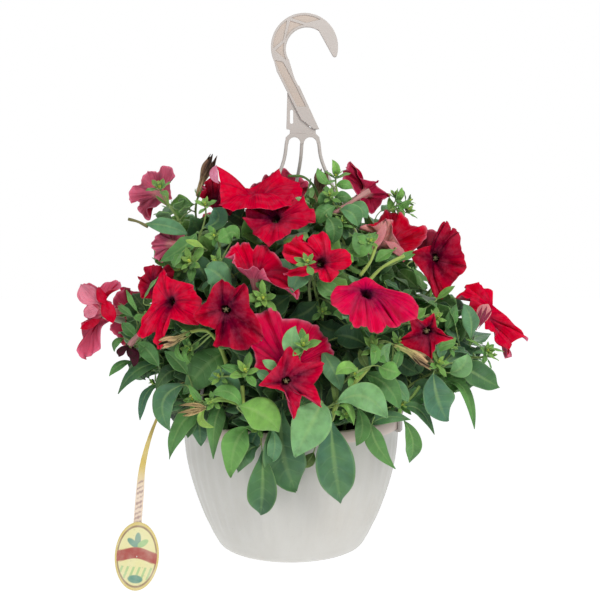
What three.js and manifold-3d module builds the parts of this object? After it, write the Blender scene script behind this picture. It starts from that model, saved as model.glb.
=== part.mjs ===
// A hanging basket of red petunias: a round plastic pot of compost, a one-piece hanger with a hook,
// a plant label on a strap, and the plant itself as leafy shoots, open flowers and spent flowers.
// Millimetres, +Z up. The model is drawn with z = 0 under the pot and then moved, so that the origin
// is the hook's seat, where a bracket carries it. The front of the basket faces -Y.

import * as THREE from 'three';
import { mergeVertices } from 'three/addons/utils/BufferGeometryUtils.js';
import Module from 'manifold-3d';

const wasm = await Module();
wasm.setup();

// ---------------------------------------------------------------- driving dimensions

const CLEARANCE = 0.3;
const UP = new THREE.Vector3(0, 0, 1);
const GOLDEN_ANGLE = 137.5;

const POT = {
  height: 160,
  rimRadius: 127.5,
  rimBand: 14,
  rimLip: 3.4,
  neckRadius: 125.6,
  footRadius: 73,
  cornerRadius: 90,
  cornerHeight: 14,
  wall: 1.8,
  floor: 2.4,
  sides: 32,
  drainHoles: 5,
  drainCircle: 48,
  drainRadius: 5,
};
// Outer radius of the bowl at a few heights between its lower corner and its rim band.
const BOWL = [[97.4, 29], [107, 53], [114.8, 77], [121.5, 105]];

const SOIL = { top: 142 };

const HOOK = {
  depth: 9,
  web: 2,
  flange: 2.6,
  outerCentre: [15.5, 578.6],
  outerRadius: 38,
  innerCentre: [18.3, 577],
  innerRadius: 24,
  outerFrom: -8,
  outerTo: 205,
  innerFrom: 56,
  innerTo: 212,
  tip: [[52.6, 570], [50, 567.4], [47.2, 569.4]],
};
const SEAT = [18.3, 0, 601];

const PLATE = {
  depth: 4,
  bottom: 486.5,
  left: -5.2,
  right: 32.3,
  topLeft: [-4, 530],
  neckLeft: -1.2,
  neckRight: 28.4,
  neckBottom: 481.5,
  slot: { x: 0.8, width: 3.7, bottom: 492.6, top: 508.5 },
  eyelet: { x: 22.4, z: 490, radius: 1.7 },
};
const YOKE = { top: 481.6, archTop: 477.4, bottom: 470, left: -6.8, right: 33.6 };
const ARM = { radius: 2, sides: 8, steps: 14, bow: 137.5, bowHeight: 192 };
// Each arm starts beside the others under the yoke and ends in a clip on the rim.
const ARMS = [
  { startX: -4.7, azimuth: 225 },
  { startX: 12.7, azimuth: 105 },
  { startX: 31.5, azimuth: -15 },
];
// The clip sits over the rim, with a catch under the rim band that carries the pot.
const CLIP = {
  width: 15,
  outer: 3,
  top: 3,
  inner: 2.4,
  catch: 3,
  insideDrop: 9,
  tabReach: 13,
  tabHeight: 13,
};

const LABEL = { thickness: 0.9, ovalWidth: 48, ovalHeight: 77, ovalCentre: [-167, -125, 24], tilt: 5 };
// The strap's route from the compost, over the rim and down to the oval, with its width there
// and how far its face has turned from the front.
const STRAP = [
  [-84, -64, 142.3, 5, 55],
  [-92, -70, 176, 5, 55],
  [-103, -78, 202, 5, 55],
  [-120, -88, 208, 5, 60],
  [-136, -96, 190, 5, 60],
  [-148, -104, 166, 5, 50],
  [-156, -112, 142, 6, 35],
  [-161, -118, 118, 7, 15],
  [-163, -122, 94, 9, 5],
  [-166, -125, 58, 9, 0],
];

const TUBE_LENGTH = 34;
// Every open flower: the middle of its throat, where it faces (degrees turned from the front towards
// +X, and degrees lifted), its radius, and how far its edge reaches forward as a share of the radius.
const FLOWERS = {
  flower_left_pink: { at: [-163, 30, 412], turn: -150, lift: 25, radius: 30, cup: 0.45 },
  flower_left_small: { at: [-139, -46, 357], turn: -125, lift: 10, radius: 22, cup: 0.5 },
  flower_left_side: { at: [-216, -30, 276], turn: -90, lift: 0, radius: 40, cup: 0.45 },
  flower_left_rear: { at: [-158, -72, 332], turn: -55, lift: 22, radius: 26, cup: 0.3 },
  flower_left_front: { at: [-127, -132, 305], turn: -24, lift: 10, radius: 41, cup: 0.25 },
  flower_front_left: { at: [-62, -172, 298], turn: -4, lift: 8, radius: 37, cup: 0.2 },
  flower_crown_left: { at: [-88, -40, 409], turn: -40, lift: 45, radius: 26, cup: 0.6 },
  flower_crown_top: { at: [-31, -66, 418], turn: 0, lift: 62, radius: 45, cup: 0.3 },
  flower_crown_front: { at: [-14, -124, 390], turn: 2, lift: 28, radius: 38, cup: 0.25 },
  flower_centre: { at: [-38, -146, 345], turn: -35, lift: 5, radius: 33, cup: 0.4 },
  flower_centre_ruffled: { at: [33, -160, 346], turn: 14, lift: 14, radius: 37, cup: 0.25 },
  flower_front_right: { at: [80, -186, 312], turn: 12, lift: 38, radius: 44, cup: 0.15 },
  flower_right_star: { at: [141, -150, 272], turn: 25, lift: -5, radius: 30, cup: 0.3 },
  flower_front_star: { at: [-2, -192, 230], turn: 0, lift: -8, radius: 37, cup: 0.2 },
  flower_front_low: { at: [-18, -148, 268], turn: 16, lift: -4, radius: 37, cup: 0.25 },
  flower_right_dark: { at: [157, -72, 345], turn: -34, lift: 5, radius: 39, cup: 0.3 },
  flower_right_side: { at: [231, -40, 276], turn: 92, lift: -10, radius: 40, cup: 0.6 },
  flower_right_pale: { at: [122, -18, 363], turn: 105, lift: 0, radius: 30, cup: 0.5 },
  flower_crown_right: { at: [84, 22, 415], turn: 160, lift: 25, radius: 29, cup: 0.5 },
  flower_back_left: { at: [-105, 128, 345], turn: 215, lift: 15, radius: 38, cup: 0.25 },
  flower_back_middle: { at: [42, 168, 322], turn: 170, lift: 10, radius: 41, cup: 0.2 },
  flower_back_right: { at: [165, 98, 330], turn: 122, lift: 20, radius: 38, cup: 0.3 },
  flower_back_top: { at: [-14, 92, 402], turn: 182, lift: 42, radius: 40, cup: 0.3 },
  flower_back_low_left: { at: [-62, 182, 238], turn: 198, lift: 0, radius: 36, cup: 0.25 },
  flower_back_low_right: { at: [118, 160, 236], turn: 145, lift: 0, radius: 38, cup: 0.25 },
  flower_left_back: { at: [-192, 78, 262], turn: 245, lift: 0, radius: 37, cup: 0.3 },
};

// Dried flowers: where the stalk ends, where the withered tip points to, and the thickness.
const SPENT_FLOWERS = {
  spent_flower_crown_left: { base: [-106, -8, 410], tip: [-90, -14, 452], radius: 5.5 },
  spent_flower_crown_right: { base: [24, -8, 398], tip: [34, -12, 436], radius: 6.5 },
  spent_flower_left: { base: [-101, -152, 262], tip: [-128, -168, 254], radius: 4.5 },
  spent_flower_right: { base: [104, -170, 262], tip: [131, -178, 240], radius: 4 },
};

// Every shoot: the azimuth and radius where it comes out of the compost, and what its stems end in:
// a flower, a spent flower or a leafy tip at a point. The second and later stems fork off the first.
const SHOOTS = {
  shoot_left_high: { root: [200, 55], ends: ['flower_left_pink', 'flower_left_small'] },
  shoot_left_side: { root: [192, 98], ends: ['flower_left_side', [-176, -62, 246]] },
  shoot_left_front: { root: [212, 80], ends: ['flower_left_front', 'flower_left_rear'] },
  shoot_front_left: { root: [236, 88], ends: ['flower_front_left', 'spent_flower_left'] },
  shoot_crown_left: { root: [185, 30], ends: ['flower_crown_left', 'spent_flower_crown_left'] },
  shoot_crown: { root: [280, 22], ends: ['flower_crown_front', 'flower_crown_top'] },
  shoot_centre: { root: [255, 62], ends: ['flower_centre', [-78, -128, 346]] },
  shoot_centre_right: { root: [292, 75], ends: ['flower_front_right', 'flower_centre_ruffled'] },
  shoot_right_star: { root: [306, 98], ends: ['flower_right_star', 'spent_flower_right'] },
  shoot_front_star: { root: [262, 100], ends: ['flower_front_star', 'flower_front_low'] },
  shoot_right_dark: { root: [328, 60], ends: ['flower_right_dark', [62, -62, 388]] },
  shoot_right_side: { root: [345, 92], ends: ['flower_right_side', [222, -72, 236]] },
  shoot_right_pale: { root: [5, 50], ends: ['flower_right_pale', [136, 12, 404]] },
  shoot_crown_right: { root: [35, 22], ends: ['flower_crown_right', 'spent_flower_crown_right'] },
  shoot_back_left: { root: [125, 78], ends: ['flower_back_left', 'flower_back_low_left', [-118, 118, 196]] },
  shoot_back_middle: { root: [82, 82], ends: ['flower_back_middle', [-6, 158, 278], [0, 168, 196]] },
  shoot_back_right: { root: [42, 85], ends: ['flower_back_right', 'flower_back_low_right', [158, 98, 204]] },
  shoot_back_top: { root: [95, 35], ends: ['flower_back_top', [48, 118, 378]] },
  shoot_left_back: { root: [160, 92], ends: ['flower_left_back', [-148, 96, 332]] },
  spray_left: { root: [180, 108], ends: [[-158, -22, 196], [-168, 30, 214]] },
  spray_front_left: { root: [228, 108], ends: [[-104, -122, 196], [-74, -150, 226]] },
  spray_front: { root: [252, 110], ends: [[-34, -160, 172]] },
  spray_front_right: { root: [282, 108], ends: [[34, -162, 192], [66, -172, 232]] },
  spray_right_front: { root: [312, 110], ends: [[118, -140, 194], [158, -120, 226]] },
  spray_right: { root: [352, 108], ends: [[182, -62, 224], [172, 20, 210]] },
  spray_back: { root: [70, 108], ends: [[52, 164, 190], [-40, 162, 196]] },
};
const STEM = { radius: 1.9, sides: 5, steps: 6, forkAt: 0.42 };
// Sideways and upward bulges tried in turn, until a stem is clear of all that already grows there.
const SWAYS = [0, 10, -10, 20, -20, 30, -30, 42, -42];
const RISES = [0, 18, -18, 36];

// Large leaves that show: the shoot they grow on, their base and tip, and their width.
const SHOWN_LEAVES = [
  ['spray_front_left', [-112, -124, 186], [-134, -128, 131], 25],
  ['spray_front_left', [-82, -142, 186], [-84, -146, 136], 21],
  ['spray_front', [-58, -152, 172], [-57, -152, 118], 21],
  ['spray_front', [-31, -158, 140], [-29, -146, 76], 31],
  ['spray_front_right', [22, -168, 194], [20, -166, 144], 36],
  ['spray_front_right', [42, -158, 166], [51, -150, 91], 39],
  ['spray_front', [-4, -156, 152], [6, -148, 102], 24],
  ['spray_front', [-14, -180, 190], [-56, -180, 184], 33],
  ['spray_right_front', [100, -152, 176], [112, -148, 127], 22],
  ['spray_right_front', [124, -140, 178], [130, -140, 131], 24],
  ['spray_right_front', [149, -134, 219], [162, -140, 178], 33],
  ['spray_right', [184, -80, 218], [231, -84, 203], 26],
  ['spray_right_front', [166, -122, 236], [202, -126, 238], 28],
  ['spray_right', [196, -58, 244], [199, -60, 290], 22],
  ['spray_front_right', [62, -176, 214], [114, -172, 203], 34],
  ['spray_left', [-166, -34, 204], [-196, -48, 186], 20],
  ['spray_left', [-160, -60, 192], [-178, -78, 160], 20],
  ['shoot_left_side', [-178, -58, 226], [-202, -72, 204], 20],
  ['spray_right', [190, -64, 214], [208, -72, 172], 18],
];
// How far a shown leaf is moved outwards, in turn, until it is clear of its neighbours.
const LEAF_PUSHES = [0, 5, -5, 10, -10, 16];
// Ordinary leaves: how many a stem tries to grow, from where on the stem, and their sizes.
const LEAF = {
  perStem: 3,
  from: 0.34,
  to: 0.97,
  lowest: 54,
  highest: 30,
  widthShare: 0.52,
  thickness: 1.6,
  bend: 0.16,
  lift: 0.45,
  spread: 0.3,
  petiole: 1.2,
  turnPerShoot: 67,
  turnPerStem: 31,
};
const LEAF_TURNS = [0, 40, -40, 80, -80, 120, -120];

const COLOURS = {
  pot: 0xd3cfcb,
  hanger: 0xd8cfc6,
  compost: 0x3a2a20,
  label: 0xc9b765,
  petal: 0xc4061c,
  dried: 0x6b5238,
  foliage: 0x55853c,
};

// ---------------------------------------------------------------- helpers

const radians = THREE.MathUtils.degToRad;
const vector = (place) => new THREE.Vector3(...place);

function polar(azimuth, radius, z) {
  return new THREE.Vector3(radius * Math.cos(radians(azimuth)), radius * Math.sin(radians(azimuth)), z);
}

function facing(turn, lift) {
  const level = Math.cos(radians(lift));
  const x = Math.sin(radians(turn)) * level;
  const y = -Math.cos(radians(turn)) * level;
  return new THREE.Vector3(x, y, Math.sin(radians(lift)));
}

function outwardAt(point) {
  return new THREE.Vector3(point.x, point.y, 0).normalize();
}

// A closed geometry as a solid for joining and cutting.
function toSolid(geometry) {
  const bare = geometry.clone();
  bare.deleteAttribute('normal');
  bare.deleteAttribute('uv');
  const merged = mergeVertices(bare, 1e-3);
  const corners = merged.index.array;
  const triangles = [];
  for (let i = 0; i < corners.length; i += 3) {
    const [a, b, c] = corners.slice(i, i + 3);
    if (a !== b && b !== c && c !== a) triangles.push(a, b, c);
  }
  const mesh = new wasm.Mesh({
    numProp: 3,
    vertProperties: new Float32Array(merged.attributes.position.array),
    triVerts: new Uint32Array(triangles),
  });
  return new wasm.Manifold(mesh);
}

function toGeometry(solid) {
  const mesh = solid.getMesh();
  const geometry = new THREE.BufferGeometry();
  geometry.setAttribute('position', new THREE.BufferAttribute(mesh.vertProperties, 3));
  geometry.setIndex(new THREE.BufferAttribute(mesh.triVerts, 1));
  return geometry;
}

const join = (solids) => wasm.Manifold.union(solids);

function boxesApart(a, b, gap) {
  const one = a.boundingBox();
  const two = b.boundingBox();
  return [0, 1, 2].some((k) => one.min[k] > two.max[k] + gap || two.min[k] > one.max[k] + gap);
}

function isClear(solid, others) {
  return others.every((other) => (
    boxesApart(solid, other, CLEARANCE) || solid.minGap(other, CLEARANCE) >= CLEARANCE * 0.99
  ));
}

// A flat outline in the XZ plane, thickened along Y about y = middle.
function slab(outline, depth, middle = 0, holes = []) {
  const shape = new THREE.Shape(outline.map(([x, z]) => new THREE.Vector2(x, z)));
  shape.holes = holes;
  const geometry = new THREE.ExtrudeGeometry(shape, { depth, bevelEnabled: false });
  geometry.rotateX(Math.PI / 2);
  geometry.translate(0, middle + depth / 2, 0);
  return toSolid(geometry);
}

function arc([x, z], radius, fromDegrees, toDegrees, steps) {
  return Array.from({ length: steps + 1 }, (_, i) => {
    const angle = radians(fromDegrees + ((toDegrees - fromDegrees) * i) / steps);
    return [x + radius * Math.cos(angle), z + radius * Math.sin(angle)];
  });
}

function roundTube(curve, radius, sides, steps) {
  const circle = arc([0, 0], radius, 0, 360, sides).slice(0, sides);
  const section = new THREE.Shape(circle.map(([x, y]) => new THREE.Vector2(x, y)));
  return new THREE.ExtrudeGeometry(section, { steps, extrudePath: curve, bevelEnabled: false });
}

function latheZ(profile, sides) {
  const geometry = new THREE.LatheGeometry(profile.map(([r, z]) => new THREE.Vector2(r, z)), sides);
  geometry.rotateX(Math.PI / 2);
  return geometry;
}

// ---------------------------------------------------------------- pot and compost

function bowlProfile(inset) {
  const lower = [[POT.cornerRadius - inset, POT.cornerHeight]];
  return lower.concat(BOWL.map(([r, z]) => [r - inset, z]));
}

function makePot() {
  const bandBottom = POT.height - POT.rimBand;
  const outside = [
    [0, 0],
    [POT.footRadius, 0],
    [POT.footRadius + 10, 4],
    ...bowlProfile(0),
    [POT.neckRadius, bandBottom],
    [POT.rimRadius, bandBottom + 1],
    [POT.rimRadius, POT.height - 1.5],
    [POT.rimRadius - 1.5, POT.height],
  ];
  const inside = [
    [POT.rimRadius - POT.rimLip, POT.height],
    [POT.neckRadius - POT.wall, bandBottom],
    ...bowlProfile(POT.wall).reverse(),
    [POT.footRadius, POT.floor],
    [0, POT.floor],
  ];
  const holes = Array.from({ length: POT.drainHoles }, (_, i) => {
    const hole = new THREE.CylinderGeometry(POT.drainRadius, POT.drainRadius, 4 * POT.floor, 8);
    hole.rotateX(Math.PI / 2);
    const place = polar((360 / POT.drainHoles) * i + 18, POT.drainCircle, POT.floor / 2);
    hole.translate(place.x, place.y, place.z);
    return toSolid(hole);
  });
  return toSolid(latheZ([...outside, ...inside], POT.sides)).subtract(join(holes));
}

function makeSoil() {
  const inset = POT.wall + 2 * CLEARANCE;
  const wall = bowlProfile(inset).filter((_, i) => i !== 1 && i !== 3);
  return toSolid(latheZ([
    [0, POT.floor + CLEARANCE],
    [POT.footRadius - 1, POT.floor + CLEARANCE],
    ...wall,
    [POT.neckRadius - inset - 0.3, SOIL.top],
    [0, SOIL.top],
  ], POT.sides));
}

// ---------------------------------------------------------------- hanger

// A pocket between two ribs: an arc beside one flange and a point at the other.
function ribPocket(centre, radius, from, to, apex) {
  return [...arc(centre, radius, from, to, 5), apex];
}

function onCircle(centre, radius, degrees) {
  return arc(centre, radius, degrees, degrees, 1)[0];
}

function makeHook() {
  const outer = arc(HOOK.outerCentre, HOOK.outerRadius, HOOK.outerFrom, HOOK.outerTo, 22);
  const inner = arc(HOOK.innerCentre, HOOK.innerRadius, HOOK.innerTo, HOOK.innerFrom, 16);
  const shaft = [[-16.2, 552], [11.5, 497.5], [26, 486.5], [32.3, 486.5], [4, 544.3]];
  const body = slab([...outer, ...shaft, ...inner, ...[...HOOK.tip].reverse()], HOOK.depth);

  const outerFloor = HOOK.outerRadius - HOOK.flange;
  const innerFloor = HOOK.innerRadius + HOOK.flange;
  const outerApex = (degrees) => onCircle(HOOK.outerCentre, outerFloor - 2, degrees);
  const innerApex = (degrees) => onCircle(HOOK.innerCentre, innerFloor + 2, degrees);
  const outlines = [
    ribPocket(HOOK.outerCentre, outerFloor, 60, 114, innerApex(92)),
    ribPocket(HOOK.innerCentre, innerFloor, 98, 154, outerApex(119)),
    ribPocket(HOOK.outerCentre, outerFloor, 124, 182, innerApex(160)),
    ribPocket(HOOK.innerCentre, innerFloor, 166, 208, outerApex(187)),
    [[-17.7, 564], [-13.2, 552], [7.3, 512], [17.2, 512], [1, 544], [-5.4, 556], [-9, 562]],
  ];
  const depth = (HOOK.depth - HOOK.web) / 2;
  const middle = (HOOK.web + depth) / 2;
  const front = outlines.map((outline) => slab(outline, depth, -middle));
  const back = outlines.map((outline) => slab(outline, depth, middle));
  const pockets = [...front, ...back];
  return body.subtract(join(pockets));
}

function slotPath({ x, width, bottom, top }) {
  const half = width / 2;
  const path = new THREE.Path();
  path.absarc(x, top - half, half, 0, Math.PI);
  path.absarc(x, bottom + half, half, Math.PI, 2 * Math.PI);
  return path;
}

function makePlate() {
  const { left, right, bottom, topLeft, neckLeft, neckRight, neckBottom, slot, eyelet } = PLATE;
  const outline = [
    [left, bottom],
    [neckLeft, bottom - 0.6],
    [neckLeft, neckBottom],
    [neckRight, neckBottom],
    [neckRight, bottom - 0.6],
    [right, bottom],
    [9.3, 535.9],
    topLeft,
  ];
  const eye = new THREE.Path();
  eye.absarc(eyelet.x, eyelet.z, eyelet.radius, 0, 2 * Math.PI);
  const holes = [slotPath(slot), eye].map((path) => new THREE.Path(path.getPoints(3)));
  return slab(outline, PLATE.depth, 0, holes);
}

// The yoke under the plate, with an arch between each two arms.
function makeYoke() {
  const { top, archTop, bottom, left, right } = YOKE;
  const arches = [1, 2].flatMap((i) => {
    const from = ARMS[i].startX - ARM.radius;
    const to = ARMS[i - 1].startX + ARM.radius;
    const radius = (from - to) / 2;
    const centre = [(from + to) / 2, archTop - radius];
    return [[from, bottom], ...arc(centre, radius, 0, 180, 6), [to, bottom]].reverse();
  });
  const outline = [
    [left, bottom],
    ...arches,
    [right, bottom],
    [right - 1, archTop],
    [PLATE.neckRight, top],
    [PLATE.neckLeft, top],
    [left + 1, archTop],
  ];
  return slab(outline, PLATE.depth);
}

function makeArm({ startX, azimuth }) {
  const shoulder = vector([startX, 0, YOKE.bottom + 3]);
  const foot = polar(azimuth, POT.rimRadius + CLIP.outer - 0.5, POT.height + 1);
  const bow = polar(azimuth, ARM.bow, ARM.bowHeight);
  const along = (share, z, bulge) => {
    const point = shoulder.clone().lerp(bow, share);
    point.z = z;
    return point.addScaledVector(outwardAt(bow), bulge);
  };
  const route = [shoulder, along(0.04, 450, 0), along(0.36, 366, 8), along(0.7, 277, 10), bow, foot];
  const curve = new THREE.CatmullRomCurve3(route);
  return toSolid(roundTube(curve, ARM.radius, ARM.sides, ARM.steps));
}

// A saddle over the rim with a finger tab outside, built on the X axis and turned to its place.
function makeClip(azimuth) {
  const outside = POT.rimRadius + CLEARANCE;
  // Straight walls beside a round rim: the inner leg and the catch stand off by what it curves.
  const inside = POT.neckRadius - POT.wall - 1.2;
  const catchFace = POT.neckRadius + 2 * CLEARANCE;
  const top = POT.height + CLEARANCE;
  const ledge = POT.height - POT.rimBand - CLEARANCE;
  const tabFoot = top + CLIP.top;
  const outline = [
    [inside - CLIP.inner, top - CLIP.insideDrop],
    [inside, top - CLIP.insideDrop],
    [inside, top],
    [outside, top],
    [outside, ledge],
    [catchFace, ledge],
    [catchFace, ledge - CLIP.catch],
    [outside + CLIP.outer, ledge - CLIP.catch],
    [outside + CLIP.outer, tabFoot],
    [outside + CLIP.tabReach + 3, tabFoot + CLIP.tabHeight],
    [outside + CLIP.tabReach, tabFoot + CLIP.tabHeight + 1.5],
    [outside, tabFoot + 2],
    [inside - CLIP.inner, tabFoot],
  ];
  return slab(outline, CLIP.width).rotate([0, 0, azimuth]);
}

function makeHanger() {
  const arms = ARMS.map(makeArm);
  const clips = ARMS.map(({ azimuth }) => makeClip(azimuth));
  return join([makeHook(), makePlate(), makeYoke(), ...arms, ...clips]);
}

// ---------------------------------------------------------------- plant label

function makeLabel() {
  const strips = STRAP.slice(1).map((end, i) => {
    const [from, to] = [STRAP[i], end].map(([x, y, z, width, turn]) => {
      const across = facing(turn + 90, 0).multiplyScalar(width / 2);
      const through = facing(turn, 0).multiplyScalar(LABEL.thickness / 2);
      const middle = new THREE.Vector3(x, y, z);
      return [[-1, -1], [1, -1], [1, 1], [-1, 1]].map(([u, v]) => (
        middle.clone().addScaledVector(across, u).addScaledVector(through, v).toArray()
      ));
    });
    return wasm.Manifold.hull([...from, ...to]);
  });
  const [x, y, z] = LABEL.ovalCentre;
  const oval = new THREE.CylinderGeometry(1, 1, LABEL.thickness, 24);
  oval.scale(LABEL.ovalWidth / 2, 1, LABEL.ovalHeight / 2);
  oval.rotateY(radians(LABEL.tilt));
  oval.translate(x, y, z);
  return join([...strips, toSolid(oval)]);
}

// ---------------------------------------------------------------- flowers

const FLOWER_SIDES = 10;
const LIMB_SKIN = 1.3;

// Turns the diagonals of the rings after the given one, so that both sides of a thin skin fold
// along the same lines and never cross.
function matchFolds(geometry, rings, after) {
  for (let side = 0; side < FLOWER_SIDES; side += 1) {
    for (let ring = after; ring < rings - 1; ring += 1) {
      const a = ring + side * rings;
      const [b, c, d] = [a + rings, a + rings + 1, a + 1];
      geometry.index.array.set([a, b, c, c, d, a], 6 * (side * (rings - 1) + ring));
    }
  }
}

// A trumpet: a thin closed skin from the base of the tube to a limb of five lobes and back.
function makeFlower({ at, turn, lift, radius, cup }) {
  const reach = cup * radius;
  const rim = 4;
  const profile = [
    [0, 0],
    [3.2, 0.12 * TUBE_LENGTH],
    [8.5, TUBE_LENGTH],
    [0.58 * radius, TUBE_LENGTH + 0.6 * reach],
    [radius, TUBE_LENGTH + reach],
    [radius - 0.4, TUBE_LENGTH + reach + LIMB_SKIN],
    [0.56 * radius, TUBE_LENGTH + 0.6 * reach + LIMB_SKIN],
    [6.5, TUBE_LENGTH + LIMB_SKIN],
    [0, 0.6 * TUBE_LENGTH],
  ];
  const points = profile.map(([r, y]) => new THREE.Vector2(r, y));
  const geometry = new THREE.LatheGeometry(points, FLOWER_SIDES);
  matchFolds(geometry, profile.length, rim + 1);
  const places = geometry.attributes.position;
  for (let i = 0; i < places.count; i += 1) {
    const point = new THREE.Vector3().fromBufferAttribute(places, i);
    const distance = Math.hypot(point.x, point.z);
    const lobe = Math.cos(5 * Math.atan2(point.x, point.z));
    const edge = THREE.MathUtils.smoothstep(distance, 0.5 * radius, radius);
    point.x *= 1 + 0.08 * edge * (lobe - 1);
    point.z *= 1 + 0.08 * edge * (lobe - 1);
    places.setXYZ(i, point.x, point.y - 0.05 * radius * edge * lobe, point.z);
  }
  const axis = facing(turn, lift);
  const pose = new THREE.Quaternion().setFromUnitVectors(new THREE.Vector3(0, 1, 0), axis);
  geometry.applyQuaternion(pose);
  const base = vector(at).addScaledVector(axis, -TUBE_LENGTH);
  geometry.translate(base.x, base.y, base.z);
  return { solid: toSolid(geometry), base, axis };
}

function makeSpentFlower({ base, tip, radius }) {
  const from = vector(base);
  const axis = vector(tip).sub(from);
  const length = axis.length();
  const profile = [[0, 0], [0.5, 0.02], [0.42, 0.4], [1, 0.75], [0.8, 0.98], [0, 1]];
  const points = profile.map(([r, y]) => new THREE.Vector2(r * radius, y * length));
  const geometry = new THREE.LatheGeometry(points, 7);
  axis.normalize();
  geometry.applyQuaternion(new THREE.Quaternion().setFromUnitVectors(new THREE.Vector3(0, 1, 0), axis));
  geometry.translate(from.x, from.y, from.z);
  return { solid: toSolid(geometry), base: from, axis };
}

// ---------------------------------------------------------------- shoots

// A leaf is a thin, four-sided spindle, wide across and bent down towards its tip.
function makeLeaf(base, direction, length, width) {
  const profile = [[0, -0.02], [0.88, 0.3], [0.8, 0.64], [0, 1]];
  const points = profile.map(([r, y]) => new THREE.Vector2((r * width) / 2, y * length));
  const geometry = new THREE.LatheGeometry(points, 4);
  const along = direction.clone().normalize();
  const top = outwardAt(base).multiplyScalar(0.7).addScaledVector(UP, 0.8);
  const side = along.clone().cross(top).normalize();
  const normal = side.clone().cross(along);
  const places = geometry.attributes.position;
  for (let i = 0; i < places.count; i += 1) {
    const share = places.getY(i) / length;
    const lifted = (places.getZ(i) * LEAF.thickness) / width - LEAF.bend * length * share * share;
    places.setZ(i, lifted);
  }
  geometry.applyMatrix4(new THREE.Matrix4().makeBasis(side, along, normal));
  geometry.translate(base.x, base.y, base.z);
  return toSolid(geometry);
}

function stemCurve(start, heading, end, arrival, sway, rise) {
  const span = start.distanceTo(end);
  const sideways = outwardAt(end).cross(UP).multiplyScalar(sway);
  const first = start.clone().addScaledVector(heading, span * 0.4).add(sideways);
  first.z += rise;
  const last = end.clone().addScaledVector(arrival, -span * 0.3).addScaledVector(sideways, 0.5);
  const curve = new THREE.CubicBezierCurve3(start.clone(), first, last, end);
  if (start.z < SOIL.top + 1) {
    // A leaning stem is cut square, so it starts higher by what its lower edge hangs down.
    curve.v0.z += STEM.radius * Math.sqrt(1 - curve.getTangent(0).z ** 2);
  }
  return curve;
}

function makeStem(curve) {
  return toSolid(roundTube(curve, STEM.radius, STEM.sides, STEM.steps));
}

// A point of the stem's own chords, which run straight from step to step.
function pointOnStem(curve, share) {
  const joints = curve.getSpacedPoints(STEM.steps);
  const step = Math.min(Math.floor(share * STEM.steps), STEM.steps - 1);
  return joints[step].clone().lerp(joints[step + 1], share * STEM.steps - step);
}

function nearestOn(curves, point) {
  const shares = Array.from({ length: 22 }, (_, i) => (i + 3) / 25);
  const samples = curves.flatMap((curve) => shares.map((share) => pointOnStem(curve, share)));
  return samples.reduce((best, sample) => (
    sample.distanceTo(point) < best.distanceTo(point) ? sample : best
  ));
}

// Where a stem ends and the direction it arrives in.
function stemEnd(end, heads) {
  if (typeof end !== 'string') {
    const point = vector(end);
    return { point, arrival: outwardAt(point).addScaledVector(UP, 0.3).normalize() };
  }
  const { base, axis } = heads[end];
  return { point: base.clone().addScaledVector(axis, -CLEARANCE - 0.1), arrival: axis };
}

// Where a stem starts and the direction it sets off in: out of the compost, or off the first stem.
function stemStart(root, trunk, point) {
  if (trunk) {
    const start = pointOnStem(trunk, STEM.forkAt);
    const aim = point.clone().sub(start).normalize();
    return { start, heading: trunk.getTangentAt(STEM.forkAt).lerp(aim, 0.5).normalize() };
  }
  const start = polar(...root, SOIL.top + CLEARANCE);
  return { start, heading: UP.clone().addScaledVector(outwardAt(start), 0.15).normalize() };
}

function growStems(root, ends, heads, obstacles) {
  const stems = [];
  const curves = [];
  const bulges = RISES.flatMap((rise) => SWAYS.map((sway) => [sway, rise]));
  for (const end of ends) {
    const { point, arrival } = stemEnd(end, heads);
    const { start, heading } = stemStart(root, curves[0], point);
    const candidates = bulges.map(([sway, rise]) => stemCurve(start, heading, point, arrival, sway, rise));
    const curve = candidates.find((candidate) => isClear(makeStem(candidate), obstacles));
    curves.push(curve);
    stems.push(makeStem(curve));
  }
  return { stems, curves };
}

// ---------------------------------------------------------------- the basket

const basket = new THREE.Group();

function addPart(name, solid, colour, roughness) {
  const material = new THREE.MeshStandardMaterial({ color: colour, roughness, metalness: 0 });
  const mesh = new THREE.Mesh(toGeometry(solid), material);
  mesh.name = name;
  basket.add(mesh);
}

const pot = makePot();
const soil = makeSoil();
const hanger = makeHanger();
const label = makeLabel();
const holders = [pot, soil, hanger, label];

const heads = {};
for (const [name, flower] of Object.entries(FLOWERS)) heads[name] = makeFlower(flower);
for (const [name, flower] of Object.entries(SPENT_FLOWERS)) heads[name] = makeSpentFlower(flower);
const headSolids = Object.values(heads).map((head) => head.solid);

const shoots = {};
const grown = [];
for (const [name, { root, ends }] of Object.entries(SHOOTS)) {
  const obstacles = [...holders, ...headSolids, ...grown];
  shoots[name] = growStems(root, ends, heads, obstacles);
  shoots[name].leaves = [];
  grown.push(...shoots[name].stems);
}

// Adds the first of the candidate leaves that is clear of everything but the stems it grows on.
function addLeaf(shoot, candidates) {
  const others = grown.filter((solid) => !shoot.stems.includes(solid));
  const leaf = candidates.find((candidate) => isClear(candidate(), [...holders, ...headSolids, ...others]));
  if (!leaf) return;
  const solid = leaf();
  shoot.leaves.push(solid);
  grown.push(solid);
}

for (const [name, base, tip, width] of SHOWN_LEAVES) {
  const direction = vector(tip).sub(vector(base));
  const candidates = LEAF_PUSHES.map((push) => () => {
    const from = vector(base).addScaledVector(outwardAt(vector(base)), push);
    const stalk = new THREE.LineCurve3(
      nearestOn(shoots[name].curves, from),
      from.clone().addScaledVector(direction, 0.05),
    );
    const petiole = toSolid(roundTube(stalk, LEAF.petiole, 4, 1));
    return petiole.add(makeLeaf(from, direction, direction.length(), width));
  });
  addLeaf(shoots[name], candidates);
}

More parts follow.
